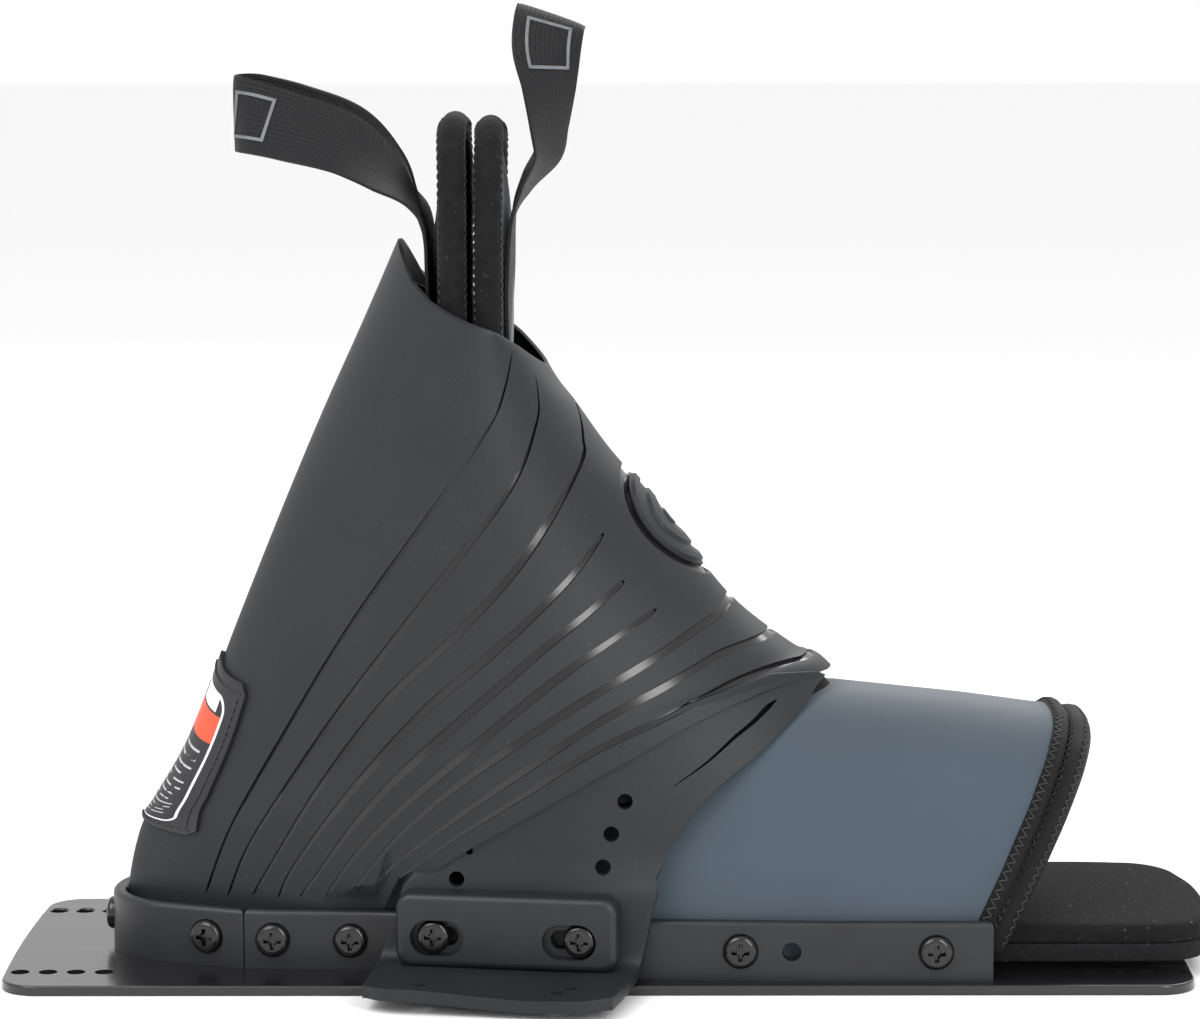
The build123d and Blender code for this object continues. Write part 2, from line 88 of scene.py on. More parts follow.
def modify(obj, kind, **settings):
    """Adds a modifier to obj and applies it."""
    select(obj)
    modifier = obj.modifiers.new(kind, kind)
    for key, value in settings.items():
        setattr(modifier, key, value)
    bpy.ops.object.modifier_apply(modifier=modifier.name)
    return obj


def mesh_object(name, points, faces, uv=None):
    """A mesh from points in millimetres; faces are turned outward."""
    mesh = bpy.data.meshes.new(name)
    mesh.from_pydata([tuple(p) for p in np.asarray(points, float) * MM], [], faces)
    if uv is not None:
        layer = mesh.uv_layers.new(name="UVMap")
        corners = np.zeros(len(mesh.loops), np.int32)
        mesh.loops.foreach_get("vertex_index", corners)
        layer.data.foreach_set("uv", (np.asarray(uv, float)[corners] * MM).ravel())
    work = bmesh.new()
    work.from_mesh(mesh)
    bmesh.ops.recalc_face_normals(work, faces=work.faces)
    work.to_mesh(mesh)
    work.free()
    obj = bpy.data.objects.new(name, mesh)
    bpy.context.scene.collection.objects.link(obj)
    return obj


def lattice(name, grid, rows_close=False, columns_close=False, uv=None, cap=None):
    """Rows of points (rows, columns, 3). cap is 'rows' to close a ring of rows at its two end
    columns, or 'ends' to close a tube at its first and last row."""
    rows, columns = grid.shape[:2]
    faces = []
    for r in range(rows if rows_close else rows - 1):
        for c in range(columns if columns_close else columns - 1):
            r2, c2 = (r + 1) % rows, (c + 1) % columns
            faces.append((r * columns + c, r * columns + c2, r2 * columns + c2, r2 * columns + c))
    if cap == "rows":
        half = rows // 2
        for c in (0, columns - 1):
            for r in range(half - 1):
                faces.append((r * columns + c, (r + 1) * columns + c,
                              (rows - 2 - r) * columns + c, (rows - 1 - r) * columns + c))
    if cap == "ends":
        faces.append(tuple(range(columns)))
        faces.append(tuple((rows - 1) * columns + c for c in range(columns)))
    flat = None if uv is None else np.asarray(uv, float).reshape(-1, 2)
    return mesh_object(name, grid.reshape(-1, 3), faces, flat)


def layer(name, outer, inner, round_tube=False, uv=None):
    """A closed layer between an outer and an inner grid of the same size."""
    both = np.concatenate([outer, inner[::-1]])
    if uv is not None:
        uv = np.concatenate([uv, uv[::-1]])
    return lattice(name, both, rows_close=True, columns_close=round_tube, uv=uv,
                   cap=None if round_tube else "rows")


def spline(points, count, closed=False):
    """A smooth path of count points through the given ones, evenly spaced."""
    p = np.asarray(points, float)
    k = len(p)
    pad = np.concatenate([p[-1:], p, p[:2]]) if closed else np.concatenate(
        [2 * p[:1] - p[1:2], p, 2 * p[-1:] - p[-2:-1]])
    spans = k if closed else k - 1
    t = np.linspace(0, spans, spans * 24 + 1)
    i = np.minimum(t.astype(int), spans - 1)
    f = (t - i)[:, None]
    a, b, c, d = pad[i], pad[i + 1], pad[i + 2], pad[i + 3]
    fine = 0.5 * (2 * b + (c - a) * f + (2 * a - 5 * b + 4 * c - d) * f * f
                  + (3 * b - a - 3 * c + d) * f ** 3)
    along = run_of(fine[:, :3])
    want = np.linspace(0, along[-1], count + 1 if closed else count)
    out = np.stack([np.interp(want, along, fine[:, j]) for j in range(p.shape[1])], 1)
    return out[:-1] if closed else out


def run_of(path):
    """Distance along a path at each of its points."""
    return np.concatenate([[0], np.cumsum(np.linalg.norm(np.diff(path, axis=0), axis=1))])


def unit(v):
    return v / np.maximum(np.linalg.norm(v, axis=-1, keepdims=True), 1e-9)


def tube(name, path, across, wide, deep, sides=14, closed=False):
    """A rounded bar along path. across is its width direction at each point."""
    ahead = np.gradient(path, axis=0)
    if closed:
        ahead = np.roll(path, -1, 0) - np.roll(path, 1, 0)
    ahead = unit(ahead)
    across = unit(across - (across * ahead).sum(1, keepdims=True) * ahead)
    out = np.cross(ahead, across)
    turn = np.linspace(0, 2 * math.pi, sides, endpoint=False)
    wide = np.broadcast_to(np.asarray(wide, float), (len(path),))
    deep = np.broadcast_to(np.asarray(deep, float), (len(path),))
    grid = (path[:, None] + np.cos(turn)[None, :, None] * (across * wide[:, None])[:, None]
            + np.sin(turn)[None, :, None] * (out * deep[:, None])[:, None])
    run = run_of(path)
    uv = np.stack(np.broadcast_arrays(run[:, None], (turn * 5)[None]), -1)
    return lattice(name, grid, rows_close=closed, columns_close=True, uv=uv,
                   cap=None if closed else "ends")


def join(name, parts):
    select(*parts)
    bpy.ops.object.join()
    parts[0].name = name
    return parts[0]


def piece(obj, body, finish, nodes=(), angle=35):
    """Gives a finished piece its finish and its body, and hides the model's nodes it stands for."""
    if finish is not None:
        obj.data.materials.clear()
        obj.data.materials.append(finish)
    select(obj)
    bpy.ops.object.shade_smooth_by_angle(angle=math.radians(angle))
    if nodes:
        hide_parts(*nodes)
    if body:
        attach(obj, body)
    print(obj.name, len(obj.data.polygons), "faces")
    return obj


# %% [markdown]
# ## Finishes
# One recipe serves most surfaces: a slow cloud for tone, a fine grain for bumps and a little dust. What
# changes between rubber, jersey, foam and paint is how coarse the grain is and how it shines. Webbing and
# tape run along their own length, so their weave follows the strip's own measure and not the room's.

# %%
def new_material(name):
    """An empty material: itself, its nodes, its links and its shader."""
    made = bpy.data.materials.new(name)
    made.use_nodes = True
    nodes = made.node_tree.nodes
    return made, nodes, made.node_tree.links, nodes["Principled BSDF"]


def noise(nodes, links, where, scale, detail=2.0):
    """A noise texture's node, laid out by the given socket."""
    texture = nodes.new("ShaderNodeTexNoise")
    texture.inputs["Scale"].default_value = scale
    texture.inputs["Detail"].default_value = detail
    links.new(where, texture.inputs["Vector"])
    return texture


def relief(nodes, links, shader, source, strength, height):
    """Bumps on the surface from the source socket. height is in millimetres."""
    bumps = nodes.new("ShaderNodeBump")
    bumps.inputs["Strength"].default_value = strength
    bumps.inputs["Distance"].default_value = height * MM
    links.new(source, bumps.inputs["Height"])
    links.new(bumps.outputs["Normal"], shader.inputs["Normal"])


def finish(name, dark, light, rough=(0.5, 0.6), cloud=25.0, grain=900.0, bump=0.1, height=0.1,
           metallic=0.0, coat=0.0, dust=0.0, stretch=(1, 1, 1), sheen=0.0, specular=0.5):
    """A surface with slow clouds, a fine grain and specks of dust. height is in millimetres."""
    made, nodes, links, shader = new_material(name)
    where = nodes.new("ShaderNodeTexCoord")
    turn = nodes.new("ShaderNodeMapping")
    turn.inputs["Scale"].default_value = stretch
    links.new(where.outputs["Object"], turn.inputs["Vector"])
    clouds = noise(nodes, links, turn.outputs["Vector"], cloud, 6)
    fine = noise(nodes, links, turn.outputs["Vector"], grain, 3)
    ramp = nodes.new("ShaderNodeValToRGB")
    ramp.color_ramp.elements[0].position = 0.3
    ramp.color_ramp.elements[0].color = (*dark, 1)
    ramp.color_ramp.elements[1].position = 0.75
    ramp.color_ramp.elements[1].color = (*light, 1)
    links.new(clouds.outputs["Fac"], ramp.inputs["Fac"])
    colour = ramp.outputs["Color"]
    if dust:
        specks = noise(nodes, links, where.outputs["Object"], 650)
        few = nodes.new("ShaderNodeMapRange")
        few.inputs["From Min"].default_value = 0.68
        few.inputs["From Max"].default_value = 0.8
        few.inputs["To Max"].default_value = dust
        links.new(specks.outputs["Fac"], few.inputs["Value"])
        mixed = nodes.new("ShaderNodeMix")
        mixed.data_type = "RGBA"
        mixed.inputs["B"].default_value = (0.35, 0.36, 0.38, 1)
        links.new(few.outputs["Result"], mixed.inputs["Factor"])
        links.new(colour, mixed.inputs["A"])
        colour = mixed.outputs["Result"]
    links.new(colour, shader.inputs["Base Color"])
    shine = nodes.new("ShaderNodeMapRange")
    shine.inputs["To Min"].default_value, shine.inputs["To Max"].default_value = rough
    links.new(clouds.outputs["Fac"], shine.inputs["Value"])
    links.new(shine.outputs["Result"], shader.inputs["Roughness"])
    relief(nodes, links, shader, fine.outputs["Fac"], bump, height)
    shader.inputs["Metallic"].default_value = metallic
    shader.inputs["Coat Weight"].default_value = coat
    shader.inputs["Coat Roughness"].default_value = 0.1
    shader.inputs["Sheen Weight"].default_value = sheen
    shader.inputs["Specular IOR Level"].default_value = specular
    return made


rubber = finish("rubber", (0.011, 0.012, 0.014), (0.016, 0.017, 0.020), (0.45, 0.55), cloud=18, grain=1500,
                bump=0.25, height=0.05, dust=0.08, specular=0.32)
# Glossier rubber for the grooves' walls and floor; its colour is painted darker than the fan's, as painted
# shade in the grooves.
groove_rubber_painted_shade = finish("groove_rubber_painted_shade", (0.006, 0.006, 0.007), (0.009, 0.009, 0.011), (0.14, 0.22),
                      cloud=18, grain=700, bump=0.1, height=0.04)
anodised = finish("anodised", (0.005, 0.005, 0.006), (0.010, 0.010, 0.011), (0.18, 0.32), cloud=30,
                  grain=160, bump=0.25, height=0.04, metallic=0.0, coat=0.3, stretch=(0.12, 6, 6))
rail_black = finish("rail_black", (0.010, 0.0105, 0.012), (0.016, 0.017, 0.020), (0.36, 0.48), cloud=40,
                    grain=1300, bump=0.35, height=0.06, specular=0.4)
screw_black = finish("screw_black", (0.004, 0.004, 0.005), (0.008, 0.008, 0.009), (0.16, 0.28), cloud=200,
                     grain=900, bump=0.15, height=0.04, metallic=0.3, coat=0.4)
bracket_black = finish("bracket_black", (0.012, 0.012, 0.013), (0.02, 0.02, 0.022), (0.35, 0.5), cloud=60,
                       grain=500, bump=0.2, height=0.05)
slate = finish("slate_neoprene", (0.040, 0.056, 0.073), (0.052, 0.071, 0.092), (0.75, 0.9), cloud=14,
               grain=1500, bump=0.6, height=0.12, sheen=0.25, specular=0.25)
jersey = finish("black_jersey", (0.003, 0.003, 0.0035), (0.009, 0.009, 0.010), (0.75, 0.92), cloud=260,
                grain=1700, bump=0.8, height=0.25, sheen=0.05, specular=0.15, dust=0.1)
foam = finish("foam", (0.003, 0.003, 0.0035), (0.008, 0.008, 0.009), (0.8, 0.95), cloud=320, grain=1100,
              bump=0.9, height=0.3, dust=0.4, specular=0.2)
foam_side = finish("foam_cut_side", (0.006, 0.006, 0.007), (0.012, 0.012, 0.013), (0.8, 0.95), cloud=500,
                   grain=700, bump=1.0, height=0.5, dust=0.3, specular=0.2)
thread = finish("thread", (0.012, 0.012, 0.013), (0.028, 0.028, 0.031), (0.5, 0.65), cloud=900, grain=2500,
                bump=0.5, height=0.1)
print("finishes made:", len(bpy.data.materials))

# %% [markdown]
# ## Webbing
# Nylon webbing is a plain weave of thick ribs that lean a little, with a firm cord along each edge. Each
# strip carries its own length and width, so two crossed waves on them give the basket of threads.

# %%
def calculator(nodes, links):
    """A function that adds one Math node, given numbers or sockets, and returns its output."""
    def put(kind, *values):
        node = nodes.new("ShaderNodeMath")
        node.operation = kind
        for socket, value in zip(node.inputs, values):
            if isinstance(value, (int, float)):
                socket.default_value = value
            else:
                links.new(value, socket)
        return node.outputs["Value"]
    return put


def strip_measure(nodes, links):
    """The strip's own two measures, together and one by one."""
    where = nodes.new("ShaderNodeUVMap")
    where.uv_map = "UVMap"
    split = nodes.new("ShaderNodeSeparateXYZ")
    links.new(where.outputs["UV"], split.inputs["Vector"])
    return where.outputs["UV"], split.outputs["X"], split.outputs["Y"]


def woven(name, dark, light, rib=1.5, lean=0.45):
    """A basket of threads: rib is their spacing in millimetres, lean how far they slant."""
    made, nodes, links, shader = new_material(name)
    where, along, across = strip_measure(nodes, links)
    put = calculator(nodes, links)
    turns = 2 * math.pi / (rib * MM)
    slanted = put("ADD", along, put("MULTIPLY", across, lean))
    first = put("SINE", put("MULTIPLY", slanted, turns))
    counter = put("SUBTRACT", along, put("MULTIPLY", across, lean))
    second = put("SINE", put("MULTIPLY", counter, turns))
    strands = put("SINE", put("MULTIPLY", across, turns * 1.9))
    weave = put("ADD", put("MULTIPLY", first, second), put("MULTIPLY", strands, 0.6))
    fuzz = noise(nodes, links, where, 2600)
    basket = put("ADD", weave, put("MULTIPLY", fuzz.outputs["Fac"], 0.7))
    ramp = nodes.new("ShaderNodeMapRange")
    ramp.inputs["From Min"].default_value, ramp.inputs["From Max"].default_value = -1.2, 1.9
    links.new(basket, ramp.inputs["Value"])
    tone = nodes.new("ShaderNodeMix")
    tone.data_type = "RGBA"
    tone.inputs["A"].default_value, tone.inputs["B"].default_value = (*dark, 1), (*light, 1)
    links.new(ramp.outputs["Result"], tone.inputs["Factor"])
    links.new(tone.outputs["Result"], shader.inputs["Base Color"])
    relief(nodes, links, shader, ramp.outputs["Result"], 0.9, 0.45)
    shader.inputs["Roughness"].default_value = 0.55
    shader.inputs["Specular IOR Level"].default_value = 0.25
    return made


webbing = woven("webbing", (0.002, 0.002, 0.0025), (0.014, 0.014, 0.016))
tape = woven("binding_tape", (0.002, 0.002, 0.0025), (0.010, 0.010, 0.011), rib=0.9, lean=0.25)
print("woven finishes made")

# %% [markdown]
# ## Hard parts keep their modelled shape
# Plate, brackets, rails, clamps and fasteners are machined or moulded, and the model has them right, so
# they only get a finish. The plate is black anodised and brushed along its length; the rails are a
# fine-grained moulding; the screws are glossier than either.

# %%
hard_finishes = {
    "base_plate": anodised, "heel_bracket": bracket_black, "side_bracket_near": bracket_black,
    "side_bracket_far": bracket_black, "bracket_rivets": screw_black, "heel_rail": rail_black,
    "side_rail_near": rail_black, "side_rail_far": rail_black, "clamp_plate_near": rail_black,
    "clamp_plate_far": rail_black, "heel_rail_screws": screw_black, "side_rail_screws": screw_black,
    "clamp_screws": screw_black,
}
for node, material in hard_finishes.items():
    part = next(o for o in bpy.data.objects if o.get("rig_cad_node") == node)
    for place in part.material_slots:
        place.material = material
    if not part.material_slots:
        part.data.materials.append(material)
print("finished", len(hard_finishes), "hard parts")

# %% [markdown]
# ## The rail line
# Everything soft meets the plate along the rails: two long sides that widen towards the toe and a round
# heel. One function gives the rail's outer face at any X, moved in or out, and the pieces below use it.

# %%
rail_corners = [(-149.9, 29.4), (-121.0, 40.0), (-75.0, 42.0), (18.0, 55.3), (80.0, 58.5), (240.0, 58.5)]
heel_centre, heel_radius = -139.1, 31.3


def rail_y(x, inset=0.0):
    """Distance of the rail's outer face from the middle line, moved in by inset."""
    x = np.asarray(x, float)
    straight = np.interp(x, [c[0] for c in rail_corners], [c[1] for c in rail_corners]) - inset
    around = np.sqrt(np.maximum((heel_radius - inset) ** 2 - (x - heel_centre) ** 2, 0))
    return np.where(x < rail_corners[0][0], around, straight)


# %% [markdown]
# ## The boot's form
# The foot and ankle are followed by rings that lean from the heel up to the instep. Each ring is a rear
# point, a front point, a half width, and how full and how far forward it is widest. Between rings the
# numbers flow in a smooth curve, so one place on the boot is just two values: which ring, and how far
# around it.

# %%
rings = np.array([
    (-54.0, 285.0, -32.0, 236.0, 45.0, 0.50, 1.00),
    (-68.5, 250.5, -16.0, 205.2, 45.5, 0.50, 1.00),
    (-81.0, 222.0, -7.3, 193.5, 45.5, 0.52, 1.02),
    (-95.2, 190.9, 3.5, 178.5, 45.8, 0.54, 1.05),
    (-109.4, 157.7, 15.5, 164.5, 46.0, 0.55, 1.08),
    (-126.4, 115.9, 28.0, 149.0, 47.0, 0.54, 1.14),
    (-141.8, 76.5, 47.0, 125.5, 49.0, 0.53, 1.22),
    (-154.0, 55.0, 68.0, 109.0, 52.0, 0.52, 1.28),
    (-160.5, 44.5, 81.5, 101.5, 53.0, 0.52, 1.32),
    (-165.2, 24.0, 112.0, 62.0, 55.4, 0.50, 1.40),
    (-165.4, 3.0, 118.0, 32.0, 55.4, 0.50, 1.42)])


def ring(s):
    """The seven numbers of the ring at s, in between the given rings too."""
    s = np.clip(np.asarray(s, float), 0, len(rings) - 1.0001)
    i = np.floor(s).astype(int)
    t = (s - i)[..., None]
    a, b, c, d = (rings[np.clip(i + k, 0, len(rings) - 1)] for k in (-1, 0, 1, 2))
    return 0.5 * (2 * b + (c - a) * t + (2 * a - 5 * b + 4 * c - d) * t * t
                  + (3 * b - a - 3 * c + d) * t ** 3)


tuck_from, tuck_over, tuck_gap, tuck_ease = 24.5, 14, 4.9, 9.0
tuck_top, tuck_front = 40, -55


def boot(s, turn, inset=0.0, tucked=True):
    """A point on the boot. turn goes from 0 at the heel, by the near side, to pi at the instep.
    Low down the boot tucks in behind the rails, unless tucked is off."""
    s, turn, inset = np.broadcast_arrays(*(np.asarray(v, float) for v in (s, turn, inset)))
    r = ring(s)
    rear_x, rear_z, front_x, front_z, half, full, skew = (r[..., k] for k in range(7))
    length = np.hypot(front_x - rear_x, front_z - rear_z)
    share = (1 - np.cos(turn)) / 2
    along = (inset + share * (length - 2 * inset)) / length
    x = rear_x + along * (front_x - rear_x)
    z = rear_z + along * (front_z - rear_z)
    reach = (half - inset) * np.sin(math.pi * share ** skew).clip(0) ** full
    if tucked:
        low = np.clip((z - tuck_from) / tuck_over, 0, 1)
        tuck = tuck_gap + inset - tuck_ease * low * low * (3 - 2 * low)
        behind = x < rail_corners[0][0]
        limit = np.where(behind, rail_y(x, np.where(behind, tuck, 0)), rail_y(x, 0) - tuck)
        limit = np.where((z < tuck_top) & (x < tuck_front), limit, 99.0)
        reach = np.minimum(reach, np.maximum(limit, 0.2))
        reach = np.where((share < 1e-9) | (share > 1 - 1e-9), 0.0, reach)
    return np.stack([x, -np.sign(np.sin(turn)) * reach, z], -1)


fine_s = np.linspace(1.0, 9.9, 2400)
fine_rings = ring(fine_s)


def find(x, z):
    """The ring and the turn of the near side's point that is seen at x, z."""
    r = fine_rings
    off = (x - r[:, 0]) * (r[:, 3] - r[:, 1]) - (z - r[:, 1]) * (r[:, 2] - r[:, 0])
    k = np.where(off[:-1] * off[1:] <= 0)[0][0]
    s = fine_s[k] + (fine_s[1] - fine_s[0]) * off[k] / (off[k] - off[k + 1])
    r = ring(s)
    span = (r[2] - r[0], r[3] - r[1])
    share = ((x - r[0]) * span[0] + (z - r[1]) * span[1]) / (span[0] ** 2 + span[1] ** 2)
    return s, math.acos(max(-1, min(1, 1 - 2 * share)))


def frame_at(s, turn):
    """Point, outward normal and direction around, on the boot."""
    s, turn = np.asarray(s, float), np.asarray(turn, float)
    point = boot(s, turn)
    around = unit(boot(s, turn + 0.02) - boot(s, turn - 0.02))
    down = unit(boot(s + 0.03, turn) - boot(s - 0.03, turn))
    normal = unit(np.cross(around, down))
    middle = boot(s, turn, 5.0) - point
    normal = np.where((normal * middle).sum(-1, keepdims=True) > 0, -normal, normal)
    return point, normal, around


# %% [markdown]
# ## The fan: the boot's grooved rubber layer
# The upper rubber sweeps from the rim to the rails and ends in a step over each wing. Its rows run from
# the rim down to that step, so the edge is a clean row and not a jagged cut. The inner face follows at
# the rubber's thickness and thins towards the step.

# %%
rim = np.array([(-69, 251), (-63, 237.5), (-56, 230.5), (-49, 226.3), (-43.5, 223.7), (-33, 219.3),
                (-26, 214.3), (-16, 205.3)], float)
step_edge = np.array([(-66.5, 29), (-64, 33.5), (-58, 37), (-45.5, 45.7), (-30, 55), (-17.7, 62),
                      (-2, 71), (10.5, 77.7), (28, 87), (43, 93.3), (58, 98), (73, 101), (80, 101.3),
                      (90, 104)], float)
boot_bottom = 12.0


def low_edge(x):
    """Height of the fan's lower edge: the step over the wing, and the plate behind it."""
    return np.where(x < -66.5, np.interp(x, [-72, -66.5], [boot_bottom, 29]),
                    np.interp(x, step_edge[:, 0], step_edge[:, 1]))


def crossing(turn, start, end, height):
    """The ring where the line at this turn crosses the edge z = height(x)."""
    low, high = start, end
    for _ in range(40):
        middle = (low + high) / 2
        x, _, z = boot(middle, turn)
        if z > height(x):
            low = middle
        else:
            high = middle
    return low


around_count, down_count = 120, 76
turns = np.linspace(0, math.pi, around_count // 2 + 1)
top = np.array([crossing(t, 0.0, 3.0, lambda x: np.interp(x, rim[:, 0], rim[:, 1])) for t in turns])
foot = np.array([crossing(t, 3.0, 9.95, low_edge) for t in turns])
share = np.linspace(0, 1, down_count)
rows_s = top[None] + (foot - top)[None] * share[:, None]
turn_grid = np.broadcast_to(turns[None], rows_s.shape)
near_edge_x = boot(foot, turns)[:, 0]
over_wing = np.clip((near_edge_x + 70) / 8, 0, 1)
rubber_wall, rim_thinning, step_thinning = 4.4, 1.6, 2.6
wall = rubber_wall - rim_thinning * np.clip(1 - share / 0.08, 0, 1)[:, None] ** 2 \
    - step_thinning * np.clip((share - 0.86) / 0.14, 0, 1)[:, None] * over_wing[None]


def whole(grid):
    """The near half and its mirror image, as one ring of columns."""
    other = grid[:, -2:0:-1] * np.array([1, -1, 1])
    return np.concatenate([grid, other], 1)


fan_outer = whole(boot(rows_s, turn_grid))
fan_inner = whole(boot(rows_s, turn_grid, wall))
lip = (fan_outer[0] + fan_inner[0]) / 2 + np.array([0, 0, 1.1])
fan = lattice("boot_fan", np.concatenate([lip[None], fan_outer, fan_inner[::-1]]), rows_close=True,
              columns_close=True)
print("fan before the grooves:", len(fan.data.polygons), "faces")

# %% [markdown]
# ## The fan's grooves
# Nine grooves spread from the heel's foot. Three taper out under the rim, three stop bluntly on the side,
# and three run over the instep to the other side. Each is a bar that follows the boot's surface, and one
# cut takes them all away, which leaves crisp walls and a smooth, glossy floor. The cut faces are also
# painted darker than the fan, as painted shade in the grooves.

# %%
grooves = [
    # points in X and Z from the top down, then the width at the top, the middle and the bottom
    ([(-28.5, 214), (-31, 202), (-36, 190), (-55, 162), (-82, 124), (-106, 85), (-126, 50), (-136, 25)],
     0.5, 1.9, 1.0),
    ([(-21, 206), (-20, 199), (-20.5, 190), (-29, 169), (-55, 135), (-90, 89), (-118, 47), (-128, 25)],
     0.5, 2.5, 1.0),
    ([(-9, 197), (-6, 190), (-5, 183), (-6, 175), (-24, 146), (-46, 121), (-71, 97), (-94, 67), (-119, 26)],
     0.6, 3.0, 1.0),
    ([(2, 152), (-11, 136), (-36, 113), (-58, 94), (-83, 66), (-103, 39), (-110, 26)], 1.9, 3.3, 1.0),
    ([(9, 136), (-2, 127), (-24, 110), (-58, 80), (-80, 57), (-96, 35), (-102, 27)], 2.1, 3.3, 1.0),
    ([(20, 126), (11, 120.5), (-18, 101.5), (-58, 68), (-80, 46), (-93, 28)], 1.6, 3.2, 1.0),
    ([(46, 126.5), (41, 122), (35, 119), (23, 112.5), (-11, 93.5), (-43, 72), (-67, 51), (-84, 30)],
     3.4, 3.0, 0.9),
    ([(60, 114), (52, 112.5), (43, 110.5), (35.5, 107.4), (23, 101.4), (-2, 89), (-36, 66.3), (-66, 43),
      (-76, 33)], 3.4, 2.9, 0.9),
    ([(72.5, 106), (66, 105.5), (55, 103.6), (43, 100), (23, 91.4), (-2, 80.4), (-24, 66.6), (-49, 50),
      (-68, 35.5)], 3.2, 2.6, 0.9),
]
groove_depth, bar_above, flare = 1.1, 1.6, 0.15


def groove_bar(name, points, widths, depth, over_instep):
    """A bar that follows the boot's surface through the given points."""
    line = np.array([find(x, z) for x, z in spline(points, 130)])
    if over_instep:
        line[0, 1] = math.pi
    run = run_of(boot(line[:, 0], line[:, 1]))
    steps = np.linspace(0, run[-1], 80)
    line = np.stack([np.interp(steps, run, line[:, k]) for k in range(2)], 1)
    position, normal, _ = frame_at(line[:, 0], line[:, 1])
    share_down = np.linspace(0, 1, len(line))
    width = np.interp(share_down, [0, 0.3, 0.6, 1], [widths[0], widths[1], widths[1], widths[2]])
    if over_instep:
        mirror = np.array([1, -1, 1])
        position = np.concatenate([position[:0:-1], position * mirror])
        normal = np.concatenate([normal[:0:-1], normal * mirror])
        normal[len(line) - 1] *= np.array([1, 0, 1])
        width = np.concatenate([width[:0:-1], width])
    ahead = unit(np.gradient(position, axis=0))
    across = unit(np.cross(ahead, normal)) * width[:, None] / 2
    ends = np.minimum(1, np.minimum(np.arange(len(width)), np.arange(len(width))[::-1]) / 2 + 0.4)
    across *= ends[:, None]
    mouth, floor_side = across * (1 + flare), across * (1 - flare)
    corners = [position - mouth + normal * bar_above, position - floor_side - normal * depth,
               position + floor_side - normal * depth, position + mouth + normal * bar_above]
    bars = [lattice(name, np.stack(corners, 1), columns_close=True, cap="ends")]
    if not over_instep:
        other = np.stack(corners, 1) * np.array([1, -1, 1])
        bars.append(lattice(name + "_far", other, columns_close=True, cap="ends"))
    return bars


cutters = []
for number, (points, *widths) in enumerate(grooves):
    cutters += groove_bar(f"groove_{number}", points, widths, groove_depth, number > 5)

# %% [markdown]
# ## The instep's medallion
# A moulded disc sits on the instep: a sunk ring around it and plain raised rings inside. Its middle is on
# the ridge, so distances are measured along the ridge and around each ring to keep it round.

# %%
ridge_s = np.linspace(2, 8, 400)
ridge = boot(ridge_s, math.pi)
ridge_run = run_of(ridge)
badge_x = 24.3
badge_place = np.interp(badge_x, ridge[:, 0], ridge_run)


def on_ridge(along, sideways):
    """Ring and turn of the place that far along the ridge and around it, from the disc's middle."""
    s = np.interp(badge_place + along, ridge_run, ridge_s)
    turn = np.linspace(math.pi, math.pi * 0.45, 90)
    line = boot(s, turn)
    run = run_of(line)
    return s, math.pi - np.sign(sideways) * (math.pi - np.interp(abs(sideways), run, turn))


def disc_points(radii, heights, count=96):
    """Circles round the disc's middle, one for each radius, lifted off the boot by its height."""
    grid = np.zeros((len(radii), count, 3))
    for i, (radius, height) in enumerate(zip(radii, heights)):
        for j in range(count):
            angle = 2 * math.pi * j / count
            s, turn = on_ridge(radius * math.cos(angle), radius * math.sin(angle))
            flip = 1.0
            if turn > math.pi:
                turn, flip = 2 * math.pi - turn, -1.0
            point, normal, _ = frame_at(s, min(turn, math.pi - 0.003))
            if abs(radius * math.sin(angle)) < 0.5:
                normal = unit(normal * np.array([1, 0, 1]))
            out = point + normal * height
            grid[i, j] = out * np.array([1, flip, 1])
    return grid


ring_cut = disc_points([20.6, 24.4, 24.9, 20.3], [-1.5, -1.5, 1.5, 1.5])
cutters.append(lattice("badge_ring", ring_cut, rows_close=True, columns_close=True))
fan.data.materials.append(rubber)
cutter = join("groove_cutter", cutters)
# The cut faces take the glossier groove rubber, whose darker colour is painted shade in the grooves.
cutter.data.materials.append(groove_rubber_painted_shade)
modify(fan, "BOOLEAN", operation="DIFFERENCE", solver="EXACT", use_self=True, object=cutter,
       material_mode="TRANSFER")
bpy.data.objects.remove(cutter)
fan.data.update()
print("fan with grooves:", len(fan.data.polygons), "faces, finishes",
      [m.name for m in fan.data.materials])
piece(fan, "binding", None, ["rubber_shell"], angle=38)

profile = [(0.05, 1.0), (3.2, 1.0), (4.0, 0.3), (7.4, 0.3), (8.3, 1.3), (11.8, 1.3), (12.7, 0.3),
           (15.6, 0.3), (16.4, 1.2), (18.8, 1.1), (20.2, -0.9), (19.6, -1.6), (0.05, -1.6)]
badge = lattice("instep_medallion", disc_points([p[0] for p in profile], [p[1] for p in profile]),
                columns_close=True, cap="ends")
piece(badge, "binding", rubber, angle=30)

# %% [markdown]
# ## The wings
# Below the step a thinner layer of the same rubber runs down over the outside of each rail and turns out
# into a flange over the plate's edge. The wing is a sheet of rubber: rows from under the fan down to the
# flange's edge, then thickened. It has a row of holes, and a slit that lets the front corner give.

# %%
front_line = np.array([(79, 100), (76, 98), (72, 93), (67, 88), (54.5, 77.5), (41.3, 68), (31.3, 58),
                       (25.8, 50), (19.7, 39)], float)
wing_top = np.array([(-66, 34), (-58, 38.5), (-45.5, 47), (-30, 56.5), (-2, 73), (28, 89), (58, 99.5),
                     (78, 101)], float)
wing_columns = 64
u = np.linspace(0, 1, wing_columns)


def along_line(line, share_along):
    """Points at these shares of a flat line's length."""
    run = run_of(line)
    return np.stack([np.interp(share_along * run[-1], run, line[:, k]) for k in range(2)], -1)


